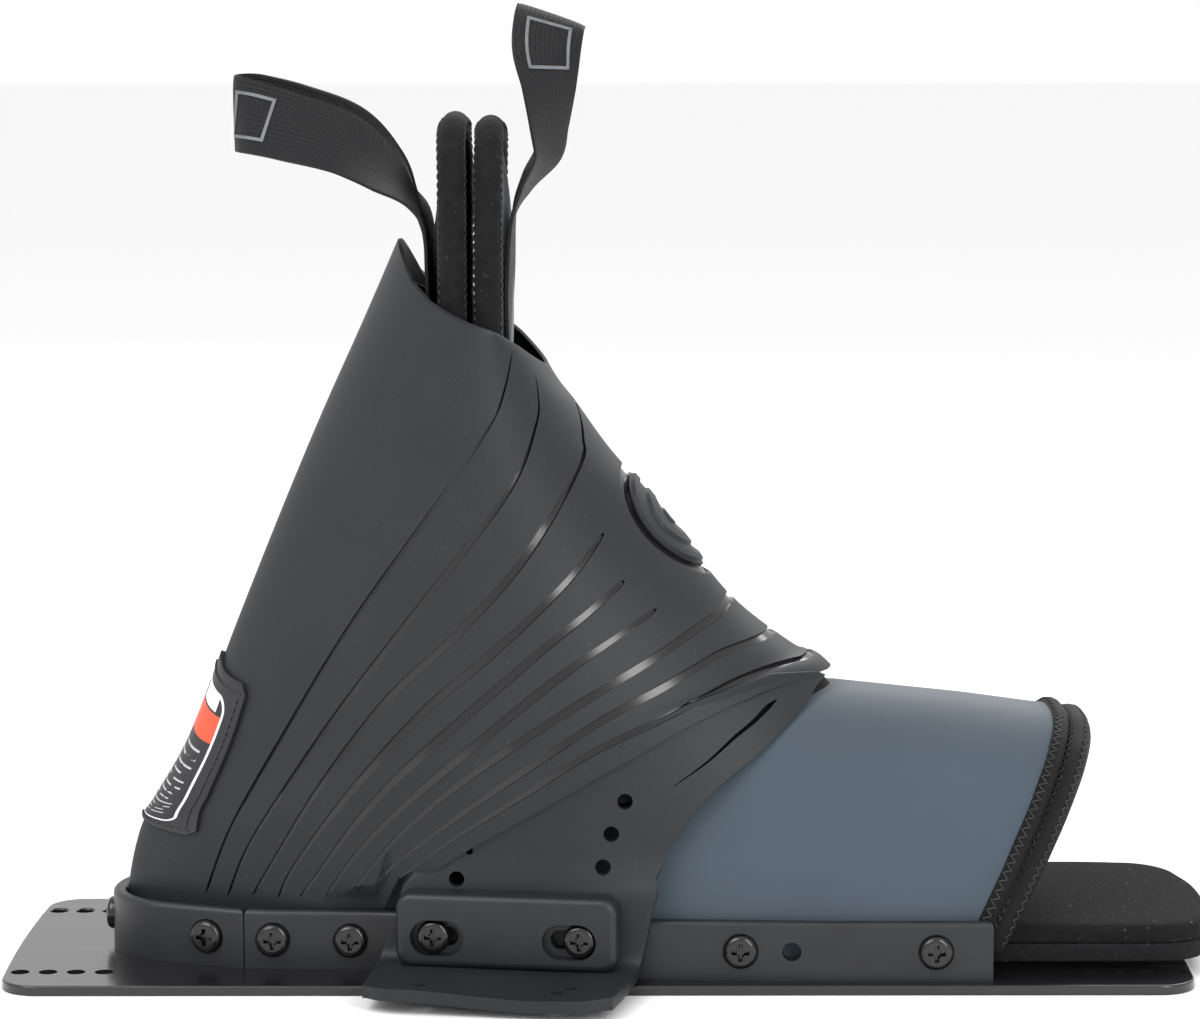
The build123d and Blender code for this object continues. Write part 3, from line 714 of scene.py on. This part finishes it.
upper = along_line(wing_top, u)
lower = np.stack([-67.0 + (19.7 + 67.0) * u, 30.5 + (39 - 30.5) * u], -1)
levels = np.linspace(0, 1, 44)
leave_boot, leave_over, under_fan, off_rail = 47, 17, 1.7, 4.4
wing_rows = []
lead = along_line(front_line, levels)
for k, v in enumerate(levels):
    flat = upper * (1 - v) + lower * v
    bow = lead[k] - (upper[-1] * (1 - v) + lower[-1] * v)
    flat = flat + bow[None] * (u ** 3)[:, None]
    row = np.zeros((wing_columns, 3))
    for c, (x, z) in enumerate(flat):
        s, turn = find(x, z)
        out = np.clip((leave_boot - z) / leave_over, 0, 1)
        out = out * out * (3 - 2 * out)
        y = boot(s, turn, under_fan, tucked=False)[1] * (1 - out) - (rail_y(x) + off_rail) * out
        row[c] = (x, y, z)
    wing_rows.append(row)
hidden = wing_rows[0].copy()
hidden[:, 2] += 7.0 * np.sin(math.pi * u) ** 0.5
hidden[:, 0] += 2.0 * np.sin(math.pi * u)
hidden[:, 1] *= 0.985
boot_part = np.stack([hidden] + wing_rows)

# From the boot's side the sheet passes outside the rail and turns out into the flange.
last = boot_part[-1]
wave = 0.9 * np.sin(u * math.pi * 2.1 + 0.6) - 1.1 * u
# how far out of the rail, how high, and how much of the flange's own outline
profile = [(4.6, 27.0, 0.0), (4.9, 21.0, 0.35), (5.0, 15.5, 0.6), (5.6, 11.6, 0.8), (7.6, 9.3, 0.9),
           (11.0, 8.5, 1.0), (18.0, 8.2, 1.0), (27.0, 8.0, 1.0), (36.0, 7.9, 1.0), (44.6, 7.8, 1.0)]
skirt_rows = []
for outset, height, turned in profile:
    foot_x = last[:, 0] * (1 - turned) + (-74.5 + (14.0 + 74.5) * u) * turned
    lean = np.interp(outset, [5, 45], [0, 1])
    corner = 1 - 0.10 * lean * (np.exp(-(u / 0.05) ** 2) + np.exp(-((u - 1) / 0.08) ** 2))
    reach = rail_y(foot_x) + outset * corner
    x = foot_x + lean * (-3.5 - 6.0 * u ** 4)
    start = np.interp(height, [8, 27], [0, 1])
    z = height + start * (last[:, 2] - 30.5) * 0.75 + lean * wave
    skirt_rows.append(np.stack([x, -reach, z], -1))
sheet_rows = np.concatenate([boot_part, np.stack(skirt_rows)])
fine = np.stack([spline(sheet_rows[:, c], 80) for c in range(wing_columns)], 1)
sheet_thickness, top_thinning = 4.2, 2.2


def wing():
    """The near wing, as a closed sheet that thins where it goes under the fan."""
    normal = unit(np.cross(np.gradient(fine, axis=1), np.gradient(fine, axis=0)))
    out = np.array([0, -1, 0.6])
    normal = np.where((normal * out).sum(-1, keepdims=True) < 0, -normal, normal)
    thin = top_thinning * np.clip(1 - np.arange(len(fine)) / 12, 0, 1)[:, None, None]
    made = layer("wing_near", fine, fine - normal * (sheet_thickness - thin))
    modify(made, "BEVEL", width=1.0 * MM, segments=3, limit_method="ANGLE", angle_limit=math.radians(55))
    return made


def rod(place, direction, radius, length, sides=28):
    """A round cutter through place."""
    bpy.ops.mesh.primitive_cylinder_add(vertices=sides, radius=radius * MM, depth=length * MM)
    made = bpy.context.object
    turn = Vector(direction).to_track_quat("Z", "Y").to_matrix().to_4x4()
    turn.translation = Vector([p * MM for p in place])
    made.data.transform(turn)
    return made


wing_holes = [(9.1, 63.7, 2.65), (4.5, 52.8, 2.65), (1.7, 41.7, 2.65), (-1.6, 29.5, 2.65),
              (-47.8, 36.5, 2.65), (-43.5, 46.2, 1.3)]
flange_holes = [(-59.1, -82), (-9.1, -82), (-13.5, -86)]
screw_ways, rail_outward = (-53.7, -4.4), (-0.1416, -0.9899, 0)
slit = np.array([(61, 94.5), (58, 92.5), (52.6, 88.0), (46.2, 83.5), (36.9, 76.0), (25.4, 68.4)])
near_wing = wing()
holes = []
for x, z, radius in wing_holes:
    holes.append(rod((x, -52, z), (0, 1, 0), radius, 30))
for x, y in flange_holes:
    holes.append(rod((x, y, 8), (0, 0, 1), 2.0, 20))
for x in screw_ways:
    holes.append(rod((x, -rail_y(x), 18.5), rail_outward, 3.4, 20))
line = spline(slit, 40)
width = np.interp(np.linspace(0, 1, 40), [0, 0.08, 0.3, 1], [0.2, 0.95, 0.7, 0.12])
ahead = unit(np.gradient(line, axis=0))
across = np.stack([-ahead[:, 1], ahead[:, 0]], 1) * width[:, None]
low, high = line - across, line + across
depth_at = -np.interp(line[:, 0], [25, 64], [52, 22])
reach = 16
corners = [np.stack([p[:, 0], depth_at + dy, p[:, 1]], -1)
           for p, dy in ((low, -reach), (high, -reach), (high, reach), (low, reach))]
holes.append(lattice("slit", np.stack(corners, 1), columns_close=True, cap="ends"))
cutter = join("hole_cutter", holes)
modify(near_wing, "BOOLEAN", operation="DIFFERENCE", solver="EXACT", use_self=True, object=cutter)
bpy.data.objects.remove(cutter)
far_wing = near_wing.copy()
far_wing.data = near_wing.data.copy()
far_wing.name = "wing_far"
bpy.context.scene.collection.objects.link(far_wing)
for corner in far_wing.data.vertices:
    corner.co.y = -corner.co.y
far_wing.data.flip_normals()
for made in (near_wing, far_wing):
    piece(made, "binding", rubber, angle=40)

# %% [markdown]
# ## The heel patch
# A flexible patch is stitched over the heel. It is a thin sheet bent over the boot, with a rounded white
# frame, a coloured band and plain bars printed on it in place of any words. The print is worked out from
# the patch's own width and height, so it bends with the sheet.

# %%
def printed_patch(width, height):
    """The patch's print, for a sheet this wide and this high in millimetres."""
    made, nodes, links, shader = new_material("patch_print")
    where, sideways, down = strip_measure(nodes, links)
    put = calculator(nodes, links)
    across = put("ABSOLUTE", sideways)

    def inside(value, low, high):
        return put("MULTIPLY", put("GREATER_THAN", value, low), put("LESS_THAN", value, high))

    def box_mask(x_low, x_high, y_low, y_high):
        return put("MULTIPLY", inside(across, x_low * MM, x_high * MM), inside(down, y_low * MM, y_high * MM))

    def rounded(margin, radius):
        """Distance inside a rounded rectangle's edge, in metres: above nought is inside."""
        x = put("MAXIMUM", put("SUBTRACT", across, (width / 2 - margin - radius) * MM), 0.0)
        middle = put("ABSOLUTE", put("SUBTRACT", down, height / 2 * MM))
        y = put("MAXIMUM", put("SUBTRACT", middle, (height / 2 - margin - radius) * MM), 0.0)
        far = put("SQRT", put("ADD", put("MULTIPLY", x, x), put("MULTIPLY", y, y)))
        return put("SUBTRACT", radius * MM, far)

    frame_in = rounded(4.2, 4.0)
    frame_line = inside(frame_in, 0.0, 0.75 * MM)
    printed = put("GREATER_THAN", frame_in, 0.75 * MM)
    band = put("MULTIPLY", printed, inside(down, 8.5 * MM, 15.5 * MM))
    tab = box_mask(6.0, 17.5, 4.4, 8.0)
    rows = put("LESS_THAN", put("FRACT", put("MULTIPLY", down, 1 / (3.1 * MM))), 0.24)
    gaps = noise(nodes, links, where, 260)
    words = put("MULTIPLY", put("MULTIPLY", rows, put("GREATER_THAN", gaps.outputs["Fac"], 0.46)),
                box_mask(-1, width / 2 - 7.5, 18.5, height - 8))

    def over(below, mask, colour):
        node = nodes.new("ShaderNodeMix")
        node.data_type = "RGBA"
        links.new(mask, node.inputs["Factor"])
        links.new(below, node.inputs["A"])
        node.inputs["B"].default_value = (*colour, 1)
        return node.outputs["Result"]

    base = nodes.new("ShaderNodeRGB")
    base.outputs[0].default_value = (0.012, 0.012, 0.014, 1)
    colour = over(base.outputs[0], band, (0.75, 0.075, 0.025))
    colour = over(colour, words, (0.42, 0.43, 0.45))
    colour = over(colour, tab, (0.72, 0.73, 0.75))
    colour = over(colour, frame_line, (0.75, 0.76, 0.78))
    links.new(colour, shader.inputs["Base Color"])
    relief(nodes, links, shader, noise(nodes, links, where, 2500).outputs["Fac"], 0.25, 0.08)
    shader.inputs["Roughness"].default_value = 0.34
    return made


corner_top, corner_low = find(-119.5, 97.5), find(-138.5, 44.5)
middle_top, middle_low = find(-129.5, 106.5), find(-157.5, 48.5)
patch_height, patch_width = 63.0, 50.0
rows_p, columns_p = 60, 61


def patch_place(a, b):
    """Ring and turn at b down the patch and a across it, from -1 to 1."""
    edge = np.array(corner_top) * (1 - b) + np.array(corner_low) * b
    middle = np.array([middle_top[0], 0.0]) * (1 - b) + np.array([middle_low[0], 0.0]) * b
    return middle + (edge - middle) * abs(a) ** 1.25


def patch_point(a, b, height):
    """The patch's point there, lifted off the boot by height."""
    s, turn = patch_place(a, b)
    point, normal, _ = frame_at(s, max(turn, 0.02))
    if abs(a) < 0.03:
        point, normal = boot(s, 0.0), unit(normal * np.array([1, 0, 1]))
    return (point + normal * height) * np.array([1, 1 if a <= 0 else -1, 1])


def patch_grid(height):
    """The whole sheet's points, drawn in a little at its corners, and its own two measures."""
    grid = np.zeros((rows_p, columns_p, 3))
    uv = np.zeros((rows_p, columns_p, 2))
    soft = 0.06
    for i in range(rows_p):
        for j in range(columns_p):
            a, b = -1 + 2 * j / (columns_p - 1), i / (rows_p - 1)
            ex = max(abs(a) - (1 - soft * 1.2), 0) / (soft * 1.2)
            ey = max(abs(2 * b - 1) - (1 - soft), 0) / soft
            pull = 1 - 0.035 * ex * ey
            a2, b2 = a * pull, 0.5 + (b - 0.5) * pull
            grid[i, j] = patch_point(a2, b2, height)
            uv[i, j] = (a2 * patch_width / 2, b2 * patch_height)
    return grid, uv


upper_face, patch_uv = patch_grid(1.5)
lower_face, _ = patch_grid(-0.8)
patch = layer("heel_patch_sheet", upper_face, lower_face, uv=patch_uv)
modify(patch, "BEVEL", width=0.7 * MM, segments=2, limit_method="ANGLE", angle_limit=math.radians(50))
piece(patch, "binding", printed_patch(patch_width, patch_height), ["heel_patch"], angle=40)

stitches = []
side_at = 0.93
level_places = [(a, b) for b in (0.035, 0.965) for a in np.linspace(-side_at, side_at, 27)]
upright_places = [(a, b) for a in (-side_at, side_at) for b in np.linspace(0.06, 0.94, 30)]
for k, (a, b) in enumerate(level_places + upright_places):
    along = (0.024, 0) if k < len(level_places) else (0, 0.011)
    line = np.array([patch_point(a + along[0] * t, b + along[1] * t, 1.5 + 0.35 * (1 - t * t))
                     for t in (-1, -0.5, 0, 0.5, 1)])
    if abs(a) < 0.05:
        line[:, 1] = np.linspace(-1, 1, 5) * 0.7
    across = np.cross(np.gradient(line, axis=0), frame_at(*patch_place(a, b))[1])
    stitches.append(tube("stitch", line, across + 1e-6, 0.32, 0.28, sides=6))
piece(join("patch_stitches", stitches), "binding", thread, angle=60)

# %% [markdown]
# ## The toe piece
# The forefoot goes under an arch of neoprene: a slate-blue cover inside the rails, a second black liner
# that shows ahead of it, and a rolled edge on each. The arch is a squarish half circle whose height falls
# towards the toe, and its front edge leans back as it comes down.

# %%
toe_stations = np.array([(-12.0, 45.0, 74.0), (18.0, 49.7, 88.0), (50.0, 51.8, 94.3), (82.0, 52.6, 95.2),
                         (128.0, 53.0, 90.3), (185.0, 53.0, 82.5)])
toe_foot, squareness = 3.4, 0.72
edge_x, edge_z, edge_run, edge_rise = 127.5, 20, 30, 66


def toe(x, turn, inset):
    """A point on the toe's arch. turn goes from 0 on the near side, over the top, to pi."""
    half = np.interp(x, toe_stations[:, 0], toe_stations[:, 1]) - inset
    tall = np.interp(x, toe_stations[:, 0], toe_stations[:, 2]) - toe_foot - inset
    cos, sin = np.cos(turn), np.sin(turn)
    y = -np.sign(cos) * np.abs(cos) ** squareness * half
    return np.stack(np.broadcast_arrays(x, y, toe_foot + tall * np.abs(sin) ** squareness), -1)


def toe_edge(turn, shift):
    """X of the leaning front edge at this turn of the arch."""
    x = np.full(np.shape(turn), 145.0)
    for _ in range(6):
        x = edge_x + edge_run * (toe(x, turn, 0)[..., 2] - edge_z) / edge_rise
    return x + shift


toe_turns = np.concatenate([np.linspace(0.0, 0.5, 22)[:-1], np.linspace(0.5, math.pi - 0.5, 84),
                            np.linspace(math.pi - 0.5, math.pi, 22)[1:]])


def toe_skin(start, shift, inset, count):
    """One face of the arch, from X = start to its leaning edge, in count rows."""
    ends = toe_edge(toe_turns, shift)
    share_x = np.linspace(0, 1, count)[:, None]
    x = start * (1 - share_x) + ends[None] * share_x
    return toe(x, np.broadcast_to(toe_turns[None], x.shape), inset)


cover = layer("toe_cover_arch", toe_skin(-6, 1.0, 0.0, 60), toe_skin(-6, 1.0, 3.0, 60))
piece(cover, "binding", slate, ["toe_cover"], angle=45)
liner = layer("toe_liner_arch", toe_skin(0, 8.0, 3.2, 40), toe_skin(0, 8.0, 5.7, 40))
piece(liner, "binding", jersey, ["toe_liner"], angle=45)


def edge_roll(name, shift, inset, wide, deep, nodes):
    """The rolled edge along an arch's front: gives its middle line and two directions for stitches."""
    turn = np.linspace(0.05, math.pi - 0.05, 170)
    line = toe(toe_edge(turn, shift), turn, inset)
    line[:, 2] += 0.12 * np.sin(np.linspace(0, 60, len(line)))
    outward = unit(toe(toe_edge(turn, shift), turn, inset - 1) - line)
    ahead = unit(np.gradient(line, axis=0))
    across = unit(np.cross(ahead, outward))
    made = tube(name, line, across, wide, deep, sides=20)
    piece(made, "binding", tape, nodes, angle=60)
    return line, outward, across


def zigzag(name, line, outward, across, lift, swing, pitch, radius=0.28):
    """A sewn zigzag that runs on a roll: line is the roll's middle, lift its height above it."""
    run = run_of(line)
    marks = np.arange(run[0] + 1, run[-1] - 1, pitch / 2)
    sides = np.where(np.arange(len(marks)) % 2, 1.0, -1.0) * swing
    at = np.stack([np.interp(marks, run, line[:, k]) for k in range(3)], 1)
    up = unit(np.stack([np.interp(marks, run, outward[:, k]) for k in range(3)], 1))
    side = unit(np.stack([np.interp(marks, run, across[:, k]) for k in range(3)], 1))
    points = at + up * lift + side * sides[:, None]
    dense = np.repeat(points, 3, 0)[:-2]
    for k in range(len(points) - 1):
        dense[3 * k + 1] = points[k] * 2 / 3 + points[k + 1] / 3 + up[k] * 0.12
        dense[3 * k + 2] = points[k] / 3 + points[k + 1] * 2 / 3 + up[k] * 0.12
    return tube(name, dense, np.repeat(side, 3, 0)[:-2], radius, radius, sides=6)


line, outward, across = edge_roll("toe_cover_edge", 2.6, 0.6, 2.9, 2.6, ["toe_cover_binding"])
stitch = zigzag("toe_cover_stitch", line, unit(outward - across * 0.3), across, 2.55, 1.3, 3.2)
piece(stitch, "binding", thread, angle=60)
line, outward, across = edge_roll("toe_liner_edge", 8.9, 3.9, 4.4, 4.6, ["toe_liner_binding"])
for k, lean in enumerate((-0.75, 0.75)):
    tilted = unit(outward + across * lean)
    piece(zigzag(f"toe_liner_stitch_{k}", line, tilted, np.cross(tilted, unit(np.gradient(line, axis=0))),
                 4.5, 0.9, 3.0), "binding", thread, angle=60)

# %% [markdown]
# ## The footbed
# Two layers of foam are glued face to face, cut to one outline inside the rails, and the toe runs on past
# them. Each layer is a slab with softly rounded edges; the glue line is the shallow groove between them.

# %%
def outline_of_footbed():
    """The foam's outline from the heel's near side round to the toe and back, as seen from above."""
    inset = 13.6
    heel = [(heel_centre + (heel_radius - inset) * math.cos(a), (heel_radius - inset) * math.sin(a))
            for a in np.linspace(math.pi, math.radians(110), 14)]
    far = [(x, rail_y(x, inset)) for x in np.linspace(-143, 128, 40)]
    tip = [(140, 47), (147, 51.5), (156, 54), (175, 54.4), (190, 53.0)]
    corner_far = [(190 + 19.5 * math.sin(a), 30.5 + 22.5 * math.cos(a)) for a in np.linspace(0.15, 1.45, 12)]
    front = [(212.0, 20), (212.8, 5), (212.4, -10)]
    corner_near = [(190.5 + 20.5 * math.cos(a), -23.5 - 21 * math.sin(a)) for a in np.linspace(0.1, 1.5, 12)]
    near = [(x, -float(rail_y(x, inset)) if x < 120 else -44.7) for x in np.linspace(178, -143, 50)]
    lower_heel = [(x, -y) for x, y in heel[::-1]][:-1]
    return spline(np.array(heel + far + tip + corner_far + front + corner_near + near + lower_heel), 360,
                  closed=True)


outline = outline_of_footbed()
ahead = unit(np.roll(outline, -1, 0) - np.roll(outline, 1, 0))
inward = np.stack([ahead[:, 1], -ahead[:, 0]], 1)


def slab(name, low, high, low_round, high_round, puff=0.0):
    """A layer of foam between two heights, with rounded edges and a face that swells by puff."""
    rows_z = []
    for a in np.linspace(0, math.pi / 2, 5):
        rows_z.append((low_round * (1 - math.sin(a)), low + low_round * (1 - math.cos(a))))
    for a in np.linspace(0, math.pi / 2, 7):
        rows_z.append((high_round * (1 - math.cos(a)), high - high_round * (1 - math.sin(a))))
    rows_z += [(high_round + 3, high + puff), (high_round + 10, high + 1.4 * puff)]
    grid = np.stack([np.concatenate([outline + inward * inset, np.full((len(outline), 1), z)], 1)
                     for inset, z in rows_z])
    return lattice(name, grid, columns_close=True, cap="ends")


base = slab("footbed_lower_foam", 6.4, 12.75, 0.8, 0.9)
piece(base, "binding", foam_side, ["footbed_base"], angle=50)
cushion = slab("footbed_upper_foam", 12.85, 19.2, 0.9, 2.2, puff=0.25)
piece(cushion, "binding", foam, ["footbed_top"], angle=50)

# %% [markdown]
# ## The cuff's two padded halves
# The leg closes between two neoprene tongues that stand up out of the boot. Each is a soft panel with a
# fat rolled edge all round, and the two rolls almost touch. The rolls are bars that follow the panel's
# outline, with a sewn zigzag on each side.

# %%
cuff_half, cuff_low, cuff_corner = 33.0, 186.0, 15.0
roll_wide, roll_deep, panel_half_thick = 4.75, 4.9, 2.4


def cuff_bow(bulge, top, half, y, z):
    """How far a cuff half bows out of its plane: most in the middle, not at all at the top."""
    return bulge * np.clip((top - z) / 34, 0, 1) ** 0.7 * (1 - (y / half) ** 2)


def cuff_line(x, bulge, top, half):
    """The roll's middle line, up one side, over and down the other."""
    side = [(-half, z) for z in np.linspace(cuff_low, top - cuff_corner, 14)]
    corner = [(-half + cuff_corner * (1 - math.cos(a)), top - cuff_corner + cuff_corner * math.sin(a))
              for a in np.linspace(0.15, math.pi / 2 - 0.1, 9)]
    over = [(y, top + 0.7 * math.cos(y / 9.0)) for y in np.linspace(-half + cuff_corner, 0, 8)]
    half_line = np.array(side + corner + over)
    other = half_line[-2::-1] * np.array([-1, 1])
    line = spline(np.concatenate([half_line, other]), 200)
    return np.stack([x + cuff_bow(bulge, top, half, line[:, 0], line[:, 1]), line[:, 0], line[:, 1]], 1)


def cuff(label, x, bulge, top, nodes, fabric):
    """One half of the cuff: its roll, the roll's two zigzags and the padded panel inside it."""
    line = cuff_line(x, bulge, top, cuff_half)
    ahead = unit(np.gradient(line, axis=0))
    outward = unit(np.cross(ahead, np.array([1.0, 0, 0])))
    if outward[0, 1] > 0:
        outward = -outward
    wobble = 1 + 0.02 * np.sin(np.linspace(0, 90, len(line)))
    roll = tube(label + "_roll", line, np.tile([1.0, 0, 0], (len(line), 1)), roll_wide * wobble,
                roll_deep, sides=20)
    piece(roll, "binding", jersey, [nodes[0]], angle=60)
    for k, side in enumerate((-1, 1)):
        tilted = unit(outward * 0.35 + np.array([side, 0, 0]))
        made = zigzag(f"{label}_stitch_{k}", line, tilted, np.cross(tilted, ahead), roll_wide, 0.9, 2.9)
        piece(made, "binding", thread, angle=60)
    side_y = np.linspace(-cuff_half + 1, cuff_half - 1, 40)
    up = np.linspace(0, 1, 36)
    face = np.zeros((len(up), len(side_y), 3))
    for j, y in enumerate(side_y):
        edge = max(abs(y) - (cuff_half - cuff_corner), 0)
        high = top - cuff_corner + math.sqrt(max(cuff_corner ** 2 - edge ** 2, 0)) - 0.5
        face[:, j, 1] = y
        face[:, j, 2] = cuff_low + (high - cuff_low) * up
        face[:, j, 0] = x + cuff_bow(bulge, top, cuff_half, y, face[:, j, 2])
    ripple = 0.35 * np.sin(face[..., 2] / 7.0 + face[..., 1] / 5.0)
    front, back = face.copy(), face.copy()
    front[..., 0] += panel_half_thick + ripple
    back[..., 0] -= panel_half_thick + ripple
    made = layer(label + "_panel", front, back)
    piece(made, "binding", fabric, [nodes[1]], angle=50)


cuff("rear_cuff", -48.7, -5.0, 288.3, ("rear_cuff_binding", "liner_rear_panel"), jersey)
cuff("front_cuff", -36.6, 5.0, 287.0, ("front_cuff_binding", "liner_front_panel"), slate)

# %% [markdown]
# The liner goes on down inside the boot as a sock. Only its upper band can be seen, between the cuff's
# halves and the rim.

# %%
sock_s = np.linspace(1.35, 8.6, 50)
sock_turn = np.linspace(0, math.pi, 61)
s_grid, t_grid = np.meshgrid(sock_s, sock_turn, indexing="ij")
sock = layer("sock_lining", whole(boot(s_grid, t_grid, 5.3)), whole(boot(s_grid, t_grid, 8.0)),
             round_tube=True)
piece(sock, "binding", jersey, ["inner_sock"], angle=50)

# %% [markdown]
# ## The pull loops
# Each loop is one band of webbing: it lies flat on a cuff half, leaves it, twists a quarter turn and comes
# back down the other side. A middle line and a width direction, both smooth, describe the whole band.

# %%
def band(name, half_points, count, width, thick):
    """half_points: x, y, z and the width direction of the near half, from the tail up to the middle."""
    p = np.array(half_points, float)
    other = p[-2::-1] * np.array([1, -1, 1, 1, -1, 1])
    other[:, 2] += 3.5 * np.sin(np.linspace(0.3, math.pi, len(other)))
    line = spline(np.concatenate([p, other]), count)
    middle = line[:, :3]
    ahead = unit(np.gradient(middle, axis=0))
    across = line[:, 3:]
    across = unit(across - (across * ahead).sum(1, keepdims=True) * ahead)
    out = np.cross(ahead, across)
    run = run_of(middle)
    return {"name": name, "middle": middle, "across": across, "out": out, "run": run,
            "width": width, "thick": thick}


def band_point(b, along, sideways, lift):
    """A point on the band: so far along it, beside its middle and off its face."""
    parts = [np.stack([np.interp(along, b["run"], b[key][:, k]) for k in range(3)], -1)
             for key in ("middle", "across", "out")]
    aside = unit(parts[1]) * np.expand_dims(sideways, -1)
    return parts[0] + aside + unit(parts[2]) * np.expand_dims(lift, -1)


def band_waves(along, v):
    """How far the band's face lies off its middle: a hollow across it and slow ripples."""
    return 0.5 * v ** 2 * np.sin(along / 17.0) + 0.25 * np.sin(along / 9.0 + v * 1.7)


def band_piece(b, rows_across=13):
    """The band itself, a closed layer with its edges a little thinner."""
    v = np.linspace(-1, 1, rows_across)
    sideways = v * b["width"] / 2
    edge = 1 - 0.35 * np.abs(v) ** 8
    grids = []
    for side in (1, -1):
        along, across = np.meshgrid(b["run"], sideways, indexing="ij")
        lift = side * b["thick"] / 2 * edge[None] + band_waves(along, v[None])
        grids.append(band_point(b, along, across, lift))
    uv = np.stack(np.meshgrid(b["run"], sideways, indexing="ij"), -1)
    return layer(b["name"], grids[0], grids[1], uv=uv)


def label_frame(b, start, end, half, lift, name):
    """A plain rounded frame of raised print on the band."""
    bars = []
    line = 0.55
    four_sides = ((start, end, half - 2 * line, half), (start, end, -half, -half + 2 * line),
                  (start, start + 2 * line, -half, half), (end - 2 * line, end, -half, half))
    for low_u, high_u, low_v, high_v in four_sides:
        along, across = np.meshgrid(np.linspace(low_u, high_u, 24), np.linspace(low_v, high_v, 10),
                                    indexing="ij")
        waves = band_waves(along, across / (b["width"] / 2))
        bars.append(layer("bar", band_point(b, along, across, lift + waves),
                          band_point(b, along, across, lift - math.copysign(0.5, lift) + waves)))
    return join(name, bars)


print_grey = finish("print_grey", (0.10, 0.11, 0.12), (0.14, 0.15, 0.16), (0.5, 0.6), cloud=300, grain=1800,
                    bump=0.3, height=0.08)
rear = band("rear_pull_band", [
    (-55.8, -14.7, 206, 0, 1, 0), (-56.8, -14.7, 236, 0, 1, 0), (-58.6, -14.6, 252, -0.05, 1, 0.02),
    (-63.0, -14.2, 262, -0.22, 0.85, 0.42), (-71.5, -13.6, 271.5, -0.2, 0.72, 0.66),
    (-86.0, -13.2, 282.6, 0.08, 0.6, 0.78), (-104.0, -12.6, 288.6, 0.03, 0.42, 0.9),
    (-116.5, -10.6, 291.8, 0.02, 0.3, 0.95), (-122.4, -5.6, 292.9, 0.0, 0.12, 0.99),
    (-124.0, 0.0, 293.2, 0, 0, 1)], 300, 25.4, 1.7)
front = band("front_pull_band", [
    (-30.4, -14.7, 206, 0, 1, 0), (-29.8, -14.7, 236, 0, 1, 0), (-29.2, -14.7, 256, 0, 1, 0),
    (-24.5, -14.4, 268.0, 0.15, 0.98, 0), (-17.6, -13.8, 279.0, 0.35, 0.93, 0),
    (-16.8, -13.2, 290.0, 0.5, 0.86, -0.1), (-16.6, -12.6, 302.0, 0.72, 0.68, -0.12),
    (-17.2, -10.4, 315.0, 0.93, 0.25, -0.28), (-16.3, -5.6, 323.6, 0.95, 0.05, -0.33),
    (-15.6, 0.0, 326.4, 0.95, 0, -0.33)], 260, 24.5, 1.7)
rear_band = piece(band_piece(rear), None, webbing, ["rear_pull_loop", "rear_strap_tails"])
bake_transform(rear_band)
front_band = piece(band_piece(front), None, webbing, ["front_pull_loop", "front_strap_tails"])
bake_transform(front_band)
half_way = rear["run"][-1] / 2
for k, (start, end) in enumerate(((half_way - 21, half_way - 6), (half_way + 6, half_way + 21))):
    frame_bars = label_frame(rear, start, end, 8.0, -1.15, f"rear_label_frame_{k}")
    piece(frame_bars, "rear_loop", print_grey, angle=50)
half_way = front["run"][-1] / 2
label = label_frame(front, half_way - 24, half_way - 7, 8.0, -1.15, "front_label_frame")
piece(label, "front_loop", print_grey, angle=50)

# %% [markdown]
# ## Floor, light and camera
# The part stands on a plain pale floor. A broad soft light above and to the left shapes the rubber, a long
# one in front draws the thin highlights in the grooves and along the plate, and the room's own light fills
# the rest. The camera looks at the near side from a little above.

# %%
bpy.ops.mesh.primitive_plane_add(size=80, location=(0, 0, -0.0003))
floor = bpy.context.object
floor.name = "floor"
pale, _, _, shader = new_material("pale_floor")
shader.inputs["Base Color"].default_value = (0.93, 0.93, 0.93, 1)
shader.inputs["Roughness"].default_value = 0.9
floor.data.materials.append(pale)

world = bpy.data.worlds.new("room")
bpy.context.scene.world = world
world.use_nodes = True
world.node_tree.nodes["Background"].inputs["Color"].default_value = (1, 1, 1, 1)
world.node_tree.nodes["Background"].inputs["Strength"].default_value = 1.0
aims = bpy.data.objects.new("light_aim", None)
aims.location = (0, 0, 0.12)
bpy.context.scene.collection.objects.link(aims)
for name, place, size, power in (("key", (-0.9, -0.9, 1.5), (1.2, 1.2), 20),
                                 ("strip", (0.9, -1.3, 0.9), (0.35, 1.4), 14),
                                 ("back", (0.6, 1.2, 1.2), (1.0, 0.6), 10)):
    light = bpy.data.lights.new(name, "AREA")
    light.shape = "RECTANGLE"
    light.size, light.size_y = size
    light.energy = power
    lamp = bpy.data.objects.new(name, light)
    lamp.location = place
    turn_to = lamp.constraints.new("TRACK_TO")
    turn_to.target = aims
    bpy.context.scene.collection.objects.link(lamp)

camera_data = bpy.data.cameras.new("camera")
camera_data.lens, camera_data.sensor_width = 107.55, 36
camera = bpy.data.objects.new("camera", camera_data)
camera.location = (0.0018, -1.2359, 0.3125)
camera.rotation_euler = (math.radians(82.79), math.radians(0.06), math.radians(0.04))
bpy.context.scene.collection.objects.link(camera)
bpy.context.scene.camera = camera
bpy.context.scene.view_settings.view_transform = "Standard"
